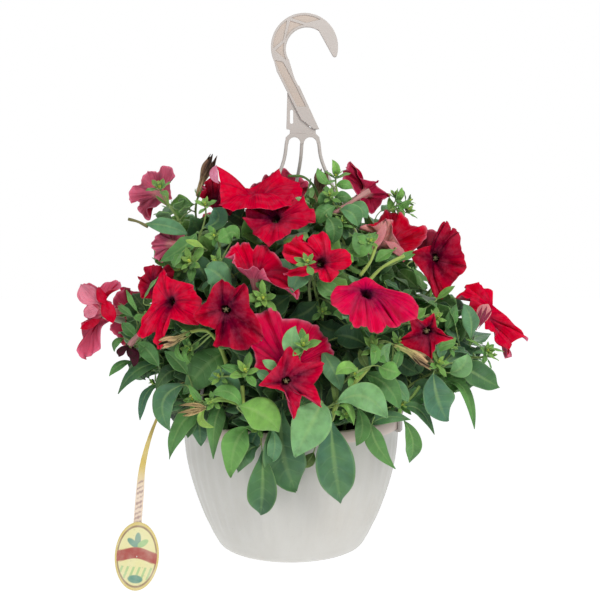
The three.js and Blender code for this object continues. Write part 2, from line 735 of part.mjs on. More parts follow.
function leafOnStem(curve, along, azimuth, length) {
  const base = pointOnStem(curve, along);
  const tangent = curve.getTangentAt(along);
  const direction = polar(azimuth, 1, 0);
  direction.addScaledVector(tangent, -direction.dot(tangent)).normalize();
  direction.addScaledVector(tangent, LEAF.lift).addScaledVector(outwardAt(base), LEAF.spread);
  return makeLeaf(base, direction, length, length * LEAF.widthShare);
}

for (let i = 0; i < LEAF.perStem; i += 1) {
  const share = i / (LEAF.perStem - 1);
  const along = THREE.MathUtils.lerp(LEAF.from, LEAF.to, share);
  const length = THREE.MathUtils.lerp(LEAF.lowest, LEAF.highest, share);
  Object.values(shoots).forEach((shoot, s) => {
    shoot.curves.forEach((curve, c) => {
      const azimuth = GOLDEN_ANGLE * i + LEAF.turnPerShoot * s + LEAF.turnPerStem * c;
      const candidates = LEAF_TURNS.map((turn) => () => leafOnStem(curve, along, azimuth + turn, length));
      addLeaf(shoot, candidates);
    });
  });
}

addPart('pot', pot, COLOURS.pot, 0.5);
addPart('potting_soil', soil, COLOURS.compost, 1);
addPart('hanger', hanger, COLOURS.hanger, 0.45);
addPart('plant_label', label, COLOURS.label, 0.5);
for (const name of Object.keys(FLOWERS)) addPart(name, heads[name].solid, COLOURS.petal, 0.7);
for (const name of Object.keys(SPENT_FLOWERS)) addPart(name, heads[name].solid, COLOURS.dried, 0.9);
for (const [name, { stems, leaves }] of Object.entries(shoots)) {
  addPart(name, join([...stems, ...leaves]), COLOURS.foliage, 0.75);
}

const [seatX, seatY, seatZ] = SEAT;
basket.position.set(-seatX, -seatY, -seatZ);
const part = new THREE.Group();
part.add(basket);

export default part;
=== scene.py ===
"""A hanging basket of red petunias in a pale plastic pot: its looks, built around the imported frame.

Shapes are worked out in millimetres from the middle of the pot's foot, with the hook above and the
viewer on the side of -y, and made into objects in the frame's metres.
"""

import math
import random
from itertools import product

import bpy
import numpy as np
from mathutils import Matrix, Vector


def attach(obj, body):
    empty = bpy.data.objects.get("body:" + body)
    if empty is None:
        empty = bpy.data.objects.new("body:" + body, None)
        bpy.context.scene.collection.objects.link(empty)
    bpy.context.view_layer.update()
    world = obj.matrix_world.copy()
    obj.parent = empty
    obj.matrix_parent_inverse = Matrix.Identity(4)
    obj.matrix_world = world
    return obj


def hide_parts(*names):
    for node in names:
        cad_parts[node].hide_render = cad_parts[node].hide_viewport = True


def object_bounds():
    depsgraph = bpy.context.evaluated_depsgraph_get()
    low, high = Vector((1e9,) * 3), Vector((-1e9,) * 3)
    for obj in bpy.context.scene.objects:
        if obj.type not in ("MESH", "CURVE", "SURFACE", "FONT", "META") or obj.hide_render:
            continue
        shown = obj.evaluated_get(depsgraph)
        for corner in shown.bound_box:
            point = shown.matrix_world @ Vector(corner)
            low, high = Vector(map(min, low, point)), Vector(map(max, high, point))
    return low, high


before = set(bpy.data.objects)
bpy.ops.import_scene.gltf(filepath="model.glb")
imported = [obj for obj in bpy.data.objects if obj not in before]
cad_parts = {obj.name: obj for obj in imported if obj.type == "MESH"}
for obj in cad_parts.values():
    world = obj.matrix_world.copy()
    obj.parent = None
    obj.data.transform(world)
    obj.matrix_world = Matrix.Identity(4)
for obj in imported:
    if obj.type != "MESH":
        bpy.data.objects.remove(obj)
CAD_BOX = [list(corner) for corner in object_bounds()]

# ---------------------------------------------------------------- sizes, in millimetres

MM = 0.001
# The frame's origin: the highest point inside the hook.
SEAT = np.array((18.3, 0.0, 601.0))
UP = np.array((0.0, 0.0, 1.0))
GOLDEN_ANGLE = 137.5

POT_HEIGHT = 160.0
RIM_RADIUS = 127.5
RIM_BAND = 14.0
RIM_LIP = 3.4
NECK_RADIUS = 125.6
POT_WALL = 1.8
SOIL_TOP = 142.0
CLEARANCE = 0.3

TUBE_LENGTH = 34.0
# The share of a shoot's first stem after which the others leave it.
FORK_AT = 0.42

# Where the photograph was taken from: the point looked at, the distance and the angle down.
LOOK_AT = np.array((10.4, 0.0, 290.0))
VIEW_DISTANCE = 1500.0
VIEW_DOWN = math.radians(6.5)
LENS = 77.58
SENSOR = 36.0

# ---------------------------------------------------------------- colours, as seen on a screen


def colour(red, green, blue):
    """A screen colour, 0 to 255, as Blender's linear one."""
    shares = [channel / 255 for channel in (red, green, blue)]
    return np.array([s / 12.92 if s < 0.04045 else ((s + 0.055) / 1.055) ** 2.4 for s in shares])


LEAF_TONES = {
    "young": colour(152, 188, 84),
    "bright": colour(118, 168, 74),
    "fresh": colour(100, 154, 74),
    "pale": colour(120, 168, 112),
    "mid": colour(82, 132, 70),
    "grey": colour(94, 142, 100),
    "blue": colour(66, 110, 84),
    "dark": colour(54, 96, 62),
    "deep": colour(36, 66, 44),
    "olive": colour(86, 108, 44),
}
DRY_TONES = {
    "straw": colour(212, 184, 128),
    "maroon": colour(74, 8, 36),
}
STEM_TONES = {
    "young": colour(158, 180, 84),
    "fresh": colour(132, 166, 82),
    "mid": colour(86, 120, 58),
    "old": colour(96, 110, 62),
    "olive": colour(112, 104, 62),
    "mauve": colour(192, 132, 132),
    "tube": colour(152, 146, 126),
}
BUD_TONE = colour(196, 206, 74)
STEM_TONE = colour(138, 164, 88)
OLD_STEM_TONE = colour(98, 120, 66)
MIDRIB_TONE = colour(150, 182, 110)
UNDERLEAF_TONE = colour(126, 156, 112)
SOIL_TONE = colour(30, 21, 15)
CRUMB_TONE = colour(74, 54, 38)
FIBRE_TONE = colour(122, 92, 62)

# Petals: the bright field, the shade towards the throat, the throat itself and the underside.
PETALS = {
    "scarlet": (colour(208, 0, 47), colour(152, 0, 44), colour(40, 2, 28), colour(200, 88, 116)),
    "crimson": (colour(188, 3, 46), colour(120, 0, 40), colour(30, 2, 24), colour(176, 58, 86)),
    "dark": (colour(174, 4, 39), colour(96, 0, 34), colour(26, 2, 20), colour(146, 42, 66)),
    "rose": (colour(210, 8, 68), colour(158, 8, 66), colour(42, 6, 38), colour(208, 98, 130)),
    "mauve": (colour(166, 8, 48), colour(104, 4, 42), colour(40, 2, 32), colour(182, 94, 118)),
    "plum": (colour(166, 4, 44), colour(96, 2, 36), colour(36, 2, 28), colour(150, 26, 58)),
    "pale": (colour(196, 0, 36), colour(134, 0, 36), colour(34, 2, 24), colour(236, 166, 156)),
}
TUBE_TONE = colour(196, 138, 136)
TUBE_FOOT_TONE = colour(150, 158, 112)

# ---------------------------------------------------------------- places and directions


def unit(vectors):
    """The vectors at length one."""
    return vectors / np.maximum(np.linalg.norm(vectors, axis=-1, keepdims=True), 1e-9)


def polar(azimuth, radius, height):
    """The point at an angle about the pot's axis, a distance from it and a height."""
    angle = math.radians(azimuth)
    return np.array((radius * math.cos(angle), radius * math.sin(angle), height))


def facing(turn, lift=0.0):
    """The direction of something turned from the viewer's side and lifted."""
    level = math.cos(math.radians(lift))
    turned = math.radians(turn)
    return np.array((math.sin(turned) * level, -math.cos(turned) * level, math.sin(math.radians(lift))))


def outward_at(point):
    """The level direction from the pot's axis to a point."""
    return unit(np.array((point[0], point[1], 0.0)))


def as_seen(points):
    """Points as (across, up, depth) from the photograph's side, at the scale of the pot's axis."""
    offset = points - LOOK_AT
    depth = VIEW_DISTANCE + offset[..., 1] * math.cos(VIEW_DOWN) - offset[..., 2] * math.sin(VIEW_DOWN)
    rise = offset[..., 1] * math.sin(VIEW_DOWN) + offset[..., 2] * math.cos(VIEW_DOWN)
    scale = VIEW_DISTANCE / depth
    return np.stack([offset[..., 0] * scale + LOOK_AT[0], rise * scale + LOOK_AT[2], depth], axis=-1)


def smooth(value, low=0.0, high=1.0):
    """0 below low, 1 above high and a soft step between."""
    share = np.clip((value - low) / (high - low), 0, 1)
    return share * share * (3 - 2 * share)


def blend(first, second, share):
    """Between two tones or arrays of tones."""
    return first + (second - first) * np.asarray(share)[..., None]


def around(first, second, angle):
    """A direction turned from a first one towards a second."""
    return first * math.cos(angle) + second * math.sin(angle)


def frame_about(axis):
    """Two directions at right angles to an axis and to each other."""
    right = unit(np.cross(axis, UP + 0.01))
    return right, np.cross(right, axis)


def bezier(start, first, last, end, shares):
    """Points on the curve that leaves its start towards first and comes to its end from last."""
    t = shares[..., None]
    return (1 - t) ** 3 * start + 3 * (1 - t) ** 2 * t * first + 3 * (1 - t) * t**2 * last + t**3 * end


# ---------------------------------------------------------------- meshes


def grid_quads(rows, columns, wrap=False):
    """Corner numbers of a grid's faces, and their (column, row) shares.

    Wrap joins the last column to the first.
    """
    last = columns if wrap else columns - 1
    row, column = np.meshgrid(np.arange(rows - 1), np.arange(last), indexing="ij")
    row, column = row.ravel(), column.ravel()
    right = (column + 1) % columns
    below, above = row * columns, (row + 1) * columns
    quads = np.stack([below + column, below + right, above + right, above + column], axis=1)
    across = np.stack([column, column + 1, column + 1, column], axis=1) / last
    along = np.stack([row, row, row + 1, row + 1], axis=1) / (rows - 1)
    return quads, np.stack([across, along], axis=2)


def grid_normals(grid, wrap=False):
    """The way a grid faces at each of its points."""
    if wrap:
        across = np.roll(grid, -1, axis=1) - np.roll(grid, 1, axis=1)
    else:
        across = np.gradient(grid, axis=1)
    along = np.gradient(grid, axis=0)
    return unit(np.cross(across, along))


def place_object(name, data):
    """A new object in the scene."""
    made = bpy.data.objects.new(name, data)
    bpy.context.scene.collection.objects.link(made)
    return made


def final_mesh(shape):
    """What a curve or an object's modifiers make, as plain mesh."""
    bpy.context.view_layer.update()
    graph = bpy.context.evaluated_depsgraph_get()
    return bpy.data.meshes.new_from_object(shape.evaluated_get(graph))


class Skins:
    """Closed skins and tubes, gathered in millimetres, that become one piece.

    Tones are the points' colours, maps the faces' shares across and along, and marks the numbers of
    the faces' materials.
    """

    def __init__(self):
        self.points = []
        self.tones = []
        self.faces = []
        self.maps = []
        self.marks = []
        self.count = 0

    def add_faces(self, faces, maps, mark):
        """Faces between the points that add_points gathers next."""
        self.faces.extend((np.asarray(faces) + self.count).tolist())
        self.maps.append(np.asarray(maps).reshape(-1, 2))
        self.marks.extend([mark] * len(faces))

    def add_points(self, points, tones):
        """Points and their tones."""
        self.points.append(points.reshape(-1, 3))
        self.tones.append(np.broadcast_to(tones, points.shape).reshape(-1, 3))
        self.count += len(self.points[-1])

    def add_skin(self, grid, thickness, tones, marks, wrap=False):
        """A thin closed skin about a grid of points, with the tones and marks of its two sides."""
        rows, columns = grid.shape[:2]
        size = rows * columns
        half = grid_normals(grid, wrap) * np.broadcast_to(thickness, (rows, columns))[..., None] / 2
        quads, maps = grid_quads(rows, columns, wrap)
        edges = np.concatenate([quads[:, [i, (i + 1) % 4]] for i in range(4)])
        open_edge = ~np.isin(edges[:, 0] * size + edges[:, 1], edges[:, 1] * size + edges[:, 0])
        start, end = edges[open_edge].T
        rims = np.stack([end, start, start + size, end + size], axis=1)
        corner = np.stack([np.arange(size) % columns / columns, np.arange(size) // columns / rows], axis=1)
        self.add_faces(quads, maps, marks[0])
        self.add_faces(quads[:, ::-1] + size, maps[:, ::-1], marks[1])
        self.add_faces(rims, corner[np.stack([end, start, start, end], axis=1)], marks[1])
        sides = np.stack([grid + half, grid - half])
        self.add_points(sides, np.stack([np.broadcast_to(tone, grid.shape) for tone in tones]))

    def add_rings(self, grid, tones, mark):
        """Rings of points as one closed skin, capped at both ends."""
        rows, columns = grid.shape[:2]
        self.add_faces(*grid_quads(rows, columns, wrap=True), mark)
        foot = np.arange(columns)[::-1]
        for cap in (foot, foot[::-1] + (rows - 1) * columns):
            self.add_faces([cap], np.full((columns, 2), 0.5), mark)
        self.add_points(grid, tones)

    def add_tube(self, path, radii, tones, mark, sides=8):
        """A closed tube along a path."""
        path = np.asarray(path, float)
        tangents = unit(np.gradient(path, axis=0))
        first = np.cross(tangents[0], UP if abs(tangents[0][2]) < 0.9 else np.array((1.0, 0.0, 0.0)))
        firsts = []
        for tangent in tangents:
            first = unit(first - tangent * first.dot(tangent))
            firsts.append(first)
        firsts = np.array(firsts)
        seconds = np.cross(tangents, firsts)
        angles = np.arange(sides) * math.tau / sides
        cosines, sines = np.cos(angles)[None, :, None], np.sin(angles)[None, :, None]
        ring = cosines * firsts[:, None] + sines * seconds[:, None]
        grid = path[:, None] + ring * np.broadcast_to(radii, len(path))[:, None, None]
        self.add_rings(grid, np.broadcast_to(tones, path.shape)[:, None], mark)

    def add_blob(self, centre, radii, axis, tones, mark):
        """A small round body, longer or flatter along its axis."""
        shares = np.linspace(-0.98, 0.98, 7)
        path = centre + np.outer(shares * radii[1], unit(axis))
        self.add_tube(path, radii[0] * np.sqrt(1 - shares**2), tones, mark)

    def mesh(self, name):
        """The gathered skins as one mesh, in the frame's metres."""
        mesh = bpy.data.meshes.new(name)
        points = (np.concatenate(self.points) - SEAT) * MM
        mesh.from_pydata(points.tolist(), [], self.faces)
        return mesh

    def make(self, name, materials, slot, replaced, smooth_faces=True):
        """The gathered skins as one object that rides with the basket."""
        mesh = self.mesh(name)
        mesh.polygons.foreach_set("material_index", self.marks)
        mesh.polygons.foreach_set("use_smooth", [smooth_faces] * len(self.faces))
        weave = mesh.uv_layers.new(name="weave")
        weave.data.foreach_set("uv", np.concatenate(self.maps).ravel())
        tones = np.concatenate(self.tones)
        tone = mesh.color_attributes.new("tone", "FLOAT_COLOR", "POINT")
        tone.data.foreach_set("color", np.concatenate([tones, np.ones((len(tones), 1))], axis=1).ravel())
        mesh.update()
        for material in materials:
            mesh.materials.append(material)
        piece = place_object(name, mesh)
        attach(piece, "root")
        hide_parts(*replaced)
        return piece


# ---------------------------------------------------------------- materials


class Finish:
    """A material's nodes, built by short calls."""

    def __init__(self, name):
        self.material = bpy.data.materials.new(name)
        self.material.use_nodes = True
        self.nodes = self.material.node_tree.nodes
        self.links = self.material.node_tree.links
        self.shader = self.nodes["Principled BSDF"]

    def node(self, kind, **settings):
        """A new node with its settings."""
        made = self.nodes.new("ShaderNode" + kind)
        for name, value in settings.items():
            setattr(made, name, value)
        return made

    def link(self, output, target):
        """Joins an output to an input, or sets the input to a number or colour."""
        if isinstance(output, bpy.types.NodeSocket):
            self.links.new(output, target)
        elif target.type == "RGBA":
            target.default_value = (*output, 1.0)
        else:
            target.default_value = output

    def fill(self, made, values):
        """A node's first inputs, set or joined in turn."""
        for value, target in zip(values, made.inputs):
            self.link(value, target)
        return made.outputs[0]

    def math(self, operation, *values):
        """A sum of a kind that Blender names, worked out at every point."""
        return self.fill(self.node("Math", operation=operation), values)

    def times(self, first, second):
        return self.math("MULTIPLY", first, second)

    def tone(self):
        """The colour that the points carry."""
        return self.node("Attribute", attribute_name="tone").outputs["Color"]

    def weave(self):
        """The across and along shares of the surface."""
        parts = self.node("SeparateXYZ")
        self.link(self.node("UVMap", uv_map="weave").outputs[0], parts.inputs[0])
        return parts.outputs[0], parts.outputs[1]

    def place(self):
        """The place on the piece, in metres."""
        return self.node("TexCoord").outputs["Object"]

    def scaled(self, vector, scale):
        """A vector scaled by three numbers."""
        made = self.node("Mapping")
        self.link(vector, made.inputs[0])
        made.inputs["Scale"].default_value = scale
        return made.outputs[0]

    def stretched(self, across, along):
        """The weave map scaled, for streaks."""
        return self.scaled(self.node("UVMap", uv_map="weave").outputs[0], (across, along, 1.0))

    def noise(self, vector, scale, detail=3.0, roughness=0.55, distortion=0.0):
        """A cloudy pattern, finer as its scale is higher."""
        made = self.node("TexNoise")
        values = (vector, scale, detail, roughness, distortion)
        for name, value in zip(("Vector", "Scale", "Detail", "Roughness", "Distortion"), values):
            self.link(value, made.inputs[name])
        return made.outputs[0]

    def remap(self, value, low, high, to_low=0.0, to_high=1.0):
        """A value between low and high as one between two others, and held within them."""
        return self.fill(self.node("MapRange", clamp=True), (value, low, high, to_low, to_high))

    def mix(self, share, first, second):
        """The first tone with a share of the second."""
        made = self.node("Mix", data_type="RGBA")
        for value, target in zip((share, first, second), (made.inputs[0], made.inputs[6], made.inputs[7])):
            self.link(value, target)
        return made.outputs[2]

    def stain(self, base, pattern, low, high, most, tone):
        """The base with a tone on it where a pattern is high, by a share of most at the highest."""
        return self.mix(self.remap(pattern, low, high, 0.0, most), base, tone)

    def bump(self, height, distance, strength=1.0):
        """Relief by a pattern's height, over a distance in metres."""
        made = self.node("Bump")
        for name, value in (("Strength", strength), ("Distance", distance), ("Height", height)):
            self.link(value, made.inputs[name])
        return made.outputs[0]

    def finish(self, base, roughness, normal=None, **fixed):
        """The material, with its base colour, roughness and relief, and fixed values for the rest."""
        self.link(base, self.shader.inputs["Base Color"])
        self.link(roughness, self.shader.inputs["Roughness"])
        if normal is not None:
            self.link(normal, self.shader.inputs["Normal"])
        for name, value in fixed.items():
            self.link(value, self.shader.inputs[name.replace("_", " ")])
        return self.material


def leaf_finish(name, underside):
    """A softly hairy leaf: mottled green, a pale midrib and margin, and faint arching side veins."""
    f = Finish(name)
    across, along = f.weave()
    aside = f.math("ABSOLUTE", f.math("MULTIPLY_ADD", across, 2.0, -1.0))
    midrib = f.remap(aside, 0.035, 0.13, 1.0, 0.0)
    fading = f.remap(along, 0.1, 0.95, 1.0, 0.25)
    ladder = f.math("MULTIPLY_ADD", aside, -0.9, f.times(along, 7.0))
    wobble = f.times(f.noise(f.place(), 60.0, 1.0), 0.35)
    wave = f.math("SINE", f.times(f.math("ADD", ladder, wobble), math.tau))
    side_veins = f.times(f.remap(wave, 0.82, 1.0), f.remap(aside, 0.05, 0.9, 1.0, 0.1))
    mottle = f.noise(f.place(), 95.0, 4.0)
    base = f.stain(f.tone(), mottle, 0.35, 0.7, 0.38, (0.02, 0.06, 0.02))
    base = f.stain(base, f.noise(f.place(), 28.0, 2.0), 0.4, 0.72, 0.22, LEAF_TONES["bright"])
    base = f.mix(f.times(side_veins, 0.09), base, MIDRIB_TONE)
    base = f.mix(f.times(f.times(midrib, fading), 0.42), base, MIDRIB_TONE)
    base = f.stain(base, aside, 0.86, 1.0, 0.26, MIDRIB_TONE)
    hairs = f.noise(f.place(), 1400.0, 2.0)
    veins = f.times(f.math("MAXIMUM", side_veins, midrib), 1.0 if underside else -1.0)
    return f.finish(
        base,
        f.remap(mottle, 0.3, 0.8, 0.5, 0.68),
        f.bump(f.math("MULTIPLY_ADD", hairs, 0.25, veins), 0.00035, 0.7),
        Sheen_Weight=0.22,
        Sheen_Roughness=0.45,
        Sheen_Tint=(0.75, 0.9, 0.7),
        Specular_IOR_Level=0.35,
        Subsurface_Weight=0.12,
        Subsurface_Radius=(0.3, 0.8, 0.15),
        Subsurface_Scale=0.002,
    )


def petal_finish(name, vein_tone):
    """Velvet: fine veins that fan out from the throat, soft blotches and dusty pink patches of painted
    sheen.
    """
    f = Finish(name)
    _, along = f.weave()
    streaks = f.noise(f.stretched(95.0, 2.2), 1.0, 2.0, 0.5, 0.3)
    fine = f.noise(f.stretched(260.0, 5.0), 1.0, 1.0)
    veins = f.times(f.remap(streaks, 0.51, 0.64), f.remap(along, 0.4, 1.0, 0.6, 0.32))
    base = f.mix(veins, f.tone(), vein_tone)
    base = f.stain(base, f.noise(f.place(), 130.0, 3.0), 0.4, 0.75, 0.12, (0.72, 0.01, 0.05))
    # Dusty pink patches: painted sheen of the velvet.
    base = f.stain(base, f.noise(f.place(), 80.0, 6.0, 0.68), 0.44, 0.7, 0.36, (0.46, 0.07, 0.13))
    return f.finish(
        base,
        0.52,
        f.bump(f.math("MULTIPLY_ADD", fine, 0.35, streaks), 0.0005, 0.55),
        Sheen_Weight=0.01,
        Sheen_Roughness=0.4,
        Sheen_Tint=(1.0, 0.2, 0.35),
        Specular_IOR_Level=0.0,
        Subsurface_Weight=0.15,
        Subsurface_Radius=(1.0, 0.2, 0.2),
        Subsurface_Scale=0.0025,
    )


def stem_finish():
    """Pale, ribbed and downy."""
    f = Finish("stem_down")
    ribs = f.noise(f.stretched(14.0, 3.0), 1.0, 2.0)
    down = f.noise(f.place(), 1500.0, 2.0)
    return f.finish(
        f.stain(f.tone(), ribs, 0.4, 0.7, 0.35, (0.06, 0.12, 0.03)),
        0.6,
        f.bump(f.math("MULTIPLY_ADD", down, 0.6, ribs), 0.0004, 0.6),
        Sheen_Weight=0.3,
        Sheen_Tint=(0.85, 1.0, 0.75),
        Specular_IOR_Level=0.35,
    )


def dried_finish():
    """Papery tissue, shrunk into dark and light folds."""
    f = Finish("dried_tissue")
    folds = f.noise(f.stretched(11.0, 1.6), 1.0, 4.0, 0.6, 0.6)
    base = f.stain(f.tone(), folds, 0.42, 0.62, 1.0, (0.022, 0.012, 0.008))
    return f.finish(base, 0.8, f.bump(folds, 0.0012, 0.9), Specular_IOR_Level=0.2)


def anther_finish():
    """Dusty pollen."""
    f = Finish("pollen")
    dust = f.noise(f.place(), 1800.0, 2.0)
    base = f.stain(f.tone(), dust, 0.35, 0.7, 1.0, (0.12, 0.1, 0.05))
    return f.finish(base, 0.85, f.bump(dust, 0.0003), Specular_IOR_Level=0.2)


def compost_finish():
    """Dark, damp and crumbly, with paler fibres."""
    f = Finish("compost_crumbs")
    crumbs = f.noise(f.place(), 260.0, 6.0, 0.7)
    fibres = f.noise(f.stretched(9.0, 140.0), 1.0, 3.0, 0.6, 2.0)
    base = f.stain(SOIL_TONE, crumbs, 0.35, 0.65, 1.0, CRUMB_TONE)
    base = f.stain(base, fibres, 0.68, 0.78, 0.6, FIBRE_TONE)
    return f.finish(base, 0.95, f.bump(crumbs, 0.003, 1.0), Specular_IOR_Level=0.2)


LEAF_TOP = leaf_finish("leaf_top", underside=False)
LEAF_UNDER = leaf_finish("leaf_underside", underside=True)
STEM = stem_finish()
PETAL_TOP = petal_finish("petal_velvet", vein_tone=(0.09, 0.0, 0.014))
PETAL_UNDER = petal_finish("petal_underside", vein_tone=(0.22, 0.01, 0.04))
POLLEN = anther_finish()
DRIED = dried_finish()

# The materials of a shoot and of a flower, and the marks that choose among them.
FOLIAGE_MATERIALS = (LEAF_TOP, LEAF_UNDER, STEM, DRIED)
TOP, UNDER, STALK, DRY = range(4)
FLOWER_MATERIALS = (PETAL_TOP, PETAL_UNDER, POLLEN)
FRONT, BACK, DUST = range(3)

# ---------------------------------------------------------------- pot and compost

BOWL = [(97.4, 29), (107, 53), (114.8, 77), (121.5, 105)]
FOOT_RADIUS = 73.0
POT_FLOOR = 2.4
DRAIN_HOLES = 5
DRAIN_CIRCLE = 48.0
DRAIN_RADIUS = 5.0
FLUTES = 44
FLUTE_DEPTH = 0.6
PEDESTAL_RING = 15.5
POT_COLUMNS = 264
SOIL_COLUMNS = 190
BARK_CHIPS = 420
BARK_SPREAD = 116.0

# The rim band is the same plastic as the bowl: its warmer tone is painted shading.
BAND_PAINTED_SHADING = colour(205, 186, 176)
POT_TONE = colour(198, 196, 190)
POT_SHADE = colour(182, 178, 170)
POT_STAIN = colour(176, 168, 154)
POT_SPECKS = colour(120, 108, 92)


def round_profile(corners, step=2.5):
    """A profile of (radius, height) corners with a smooth curve through them, finely stepped."""
    corners = np.array(corners, float)
    lengths = np.concatenate([[0], np.cumsum(np.linalg.norm(np.diff(corners, axis=0), axis=1))])
    slopes = np.gradient(corners, lengths, axis=0)
    shares = np.arange(0, lengths[-1], step)
    places = np.searchsorted(lengths, shares, side="right") - 1
    places = np.clip(places, 0, len(corners) - 2)
    spans = lengths[places + 1] - lengths[places]
    t = ((shares - lengths[places]) / spans)[:, None]
    start, end = corners[places], corners[places + 1]
    leave, arrive = slopes[places] * spans[:, None], slopes[places + 1] * spans[:, None]
    curve = (
        (2 * t**3 - 3 * t**2 + 1) * start
        + (t**3 - 2 * t**2 + t) * leave
        + (3 * t**2 - 2 * t**3) * end
        + (t**3 - t**2) * arrive
    )
    return np.concatenate([curve, corners[-1:]])


def turned(profile, columns, flute=0.0):
    """A profile turned about the pot's axis, with faint flutes where the wall is plain."""
    angles = np.arange(columns) * math.tau / columns
    radius, height = profile[:, 0, None], profile[:, 1, None]
    plain = smooth(height, 22, 40) * (1 - smooth(height, 134, 144))
    radius = radius + flute * plain * np.cos(FLUTES * angles)[None, :]
    heights = np.broadcast_to(height, radius.shape)
    return np.stack([radius * np.cos(angles), radius * np.sin(angles), heights], axis=2)


def make_pot():
    """The thin moulded bowl with its rolled foot corner, faint ring and plain rim band."""
    band_foot = POT_HEIGHT - RIM_BAND
    lower = [(FOOT_RADIUS - 4, 0.0), (FOOT_RADIUS + 3, 0.6), (FOOT_RADIUS + 10, 4), (90, 14)]
    wall = round_profile([*lower, *BOWL, (NECK_RADIUS, band_foot)])
    ring = 0.5 * np.exp(-(((wall[:, 1] - PEDESTAL_RING) / 0.9) ** 2))
    wall = wall - np.stack([ring, np.zeros(len(ring))], axis=1)
    band = [(RIM_RADIUS - 0.5, band_foot + 0.2), (RIM_RADIUS, band_foot + 0.8), (RIM_RADIUS + 0.2, 153.0)]
    lip = [(RIM_RADIUS + 0.1, 158.3), (RIM_RADIUS - 0.5, 159.5), (RIM_RADIUS - 1.6, POT_HEIGHT)]
    inner_lip = [(RIM_RADIUS - RIM_LIP + 0.5, POT_HEIGHT), (RIM_RADIUS - RIM_LIP, 159.4)]
    outside = np.concatenate([[(2.0, 0.0)], wall, band, lip])
    inside = wall[wall[:, 1] > 6][::-1] - np.array((POT_WALL, 0.0))
    inside = np.concatenate([inner_lip, inside, [(FOOT_RADIUS + 1, POT_FLOOR), (2.0, POT_FLOOR)]])
    grid = turned(np.concatenate([outside, inside]), POT_COLUMNS, FLUTE_DEPTH)
    # Painted shading: the rim band takes a warmer tone than the bowl of the same plastic.
    band_shading = smooth(grid[..., 2], band_foot - 0.2, band_foot + 0.4)
    skins = Skins()
    skins.add_rings(grid, blend(POT_TONE, BAND_PAINTED_SHADING, band_shading), 0)
    pot = skins.make("pot_moulded", (pot_finish(),), "pot_plastic", ("pot",))
    drill(pot)
    pot.data.set_sharp_from_angle(angle=math.radians(40))


def drill(pot):
    """Cuts the drain holes out of the pot's floor."""
    holes = Skins()
    for i in range(DRAIN_HOLES):
        place = polar(360 / DRAIN_HOLES * i + 18, DRAIN_CIRCLE, 0.0)
        holes.add_tube([place - 5 * UP, place, place + 8 * UP], DRAIN_RADIUS, POT_TONE, 0, sides=28)
    cutter = place_object("drill", holes.mesh("drill"))
    cut = pot.modifiers.new("drain_holes", "BOOLEAN")
    cut.operation = "DIFFERENCE"
    cut.solver = "EXACT"
    cut.object = cutter
    whole, drilled = pot.data, final_mesh(pot)
    pot.modifiers.clear()
    pot.data = drilled
    spare = cutter.data
    bpy.data.objects.remove(cutter)
    for mesh in (whole, spare):
        bpy.data.meshes.remove(mesh)


def pot_finish():
    """Plastic with upright streaks, faint stains and fine specks."""
    f = Finish("pot_plastic")
    streaks = f.noise(f.scaled(f.place(), (9.0, 9.0, 1.2)), 5.0, 4.0)
    stains = f.noise(f.place(), 11.0, 5.0, 0.62)
    base = f.stain(f.tone(), streaks, 0.4, 0.75, 0.3, POT_SHADE)
    base = f.stain(base, stains, 0.52, 0.8, 0.28, POT_STAIN)
    base = f.stain(base, f.noise(f.place(), 700.0, 1.0), 0.7, 0.77, 0.2, POT_SPECKS)
    return f.finish(
        base,
        f.remap(stains, 0.3, 0.8, 0.34, 0.52),
        f.bump(f.noise(f.place(), 900.0, 2.0), 0.0002, 0.3),
        Specular_IOR_Level=0.45,
        Subsurface_Weight=0.1,
        Subsurface_Radius=(1.0, 0.95, 0.85),
        Subsurface_Scale=0.004,
    )


def soil_wave(along, rng):
    """A wave of the compost's surface, of a random length and start."""
    return np.sin(along * rng.uniform(0.15, 1.1) + rng.uniform(0, 6))


def make_soil():
    """Compost: a crumbly top inside the pot, with chips of bark on it."""
    rng = np.random.default_rng(11)
    inset = POT_WALL + 2 * CLEARANCE
    low = [(0.5, POT_FLOOR + CLEARANCE), (FOOT_RADIUS - 1, POT_FLOOR + CLEARANCE), (90 - inset, 14)]
    wall = [(radius - inset, height) for radius, height in BOWL]
    edge = NECK_RADIUS - inset - 0.3
    top = [(edge - step, SOIL_TOP) for step in np.arange(0, edge - 1, 2.4)]
    grid = turned(np.array([*low, *wall, (edge, SOIL_TOP - 6), *top]), SOIL_COLUMNS)
    x, y, z = grid[..., 0], grid[..., 1], grid[..., 2]
    rough = sum(soil_wave(x, rng) * soil_wave(y, rng) for _ in range(12))
    on_top = z > SOIL_TOP - 0.1
    grid[..., 2] = z + on_top * (0.35 * rough + rng.uniform(-0.9, 0.9, z.shape))
    skins = Skins()
    skins.add_rings(grid, SOIL_TONE, 0)
    for _ in range(BARK_CHIPS):
        azimuth = rng.uniform(0, 360)
        spread = BARK_SPREAD * math.sqrt(rng.uniform(0, 1))
        spot = polar(azimuth, spread, SOIL_TOP + rng.uniform(0.2, 1.2))
        along = unit(np.array((*rng.normal(size=2), rng.normal() * 0.35)))
        reach = rng.uniform(1.5, 4.5)
        path = [spot - along * reach, spot, spot + along * reach]
        skins.add_tube(path, np.array((0.5, 1.0, 0.4)) * rng.uniform(0.5, 1.5), SOIL_TONE, 0, sides=5)
    skins.make("compost", (compost_finish(),), "compost", ("potting_soil",), smooth_faces=False)


# ---------------------------------------------------------------- hanger

HOOK_DEPTH = 9.0
HOOK_WEB = 6.8
HOOK_FLANGE = 2.6
OUTER_CENTRE = (15.5, 578.6)
OUTER_RADIUS = 38.0
INNER_CENTRE = (18.3, 577.0)
INNER_RADIUS = 24.0
PLATE_DEPTH = 4.0
ARM_RADIUS = 2.0
ARM_BOW = 137.5
ARM_BOW_HEIGHT = 192.0
YOKE_TOP = 481.6
YOKE_ARCH = 477.4
YOKE_FOOT = 470.0
ARMS = [(-4.7, 225), (12.7, 105), (31.5, -15)]
CLIP_WIDTH = 15.0

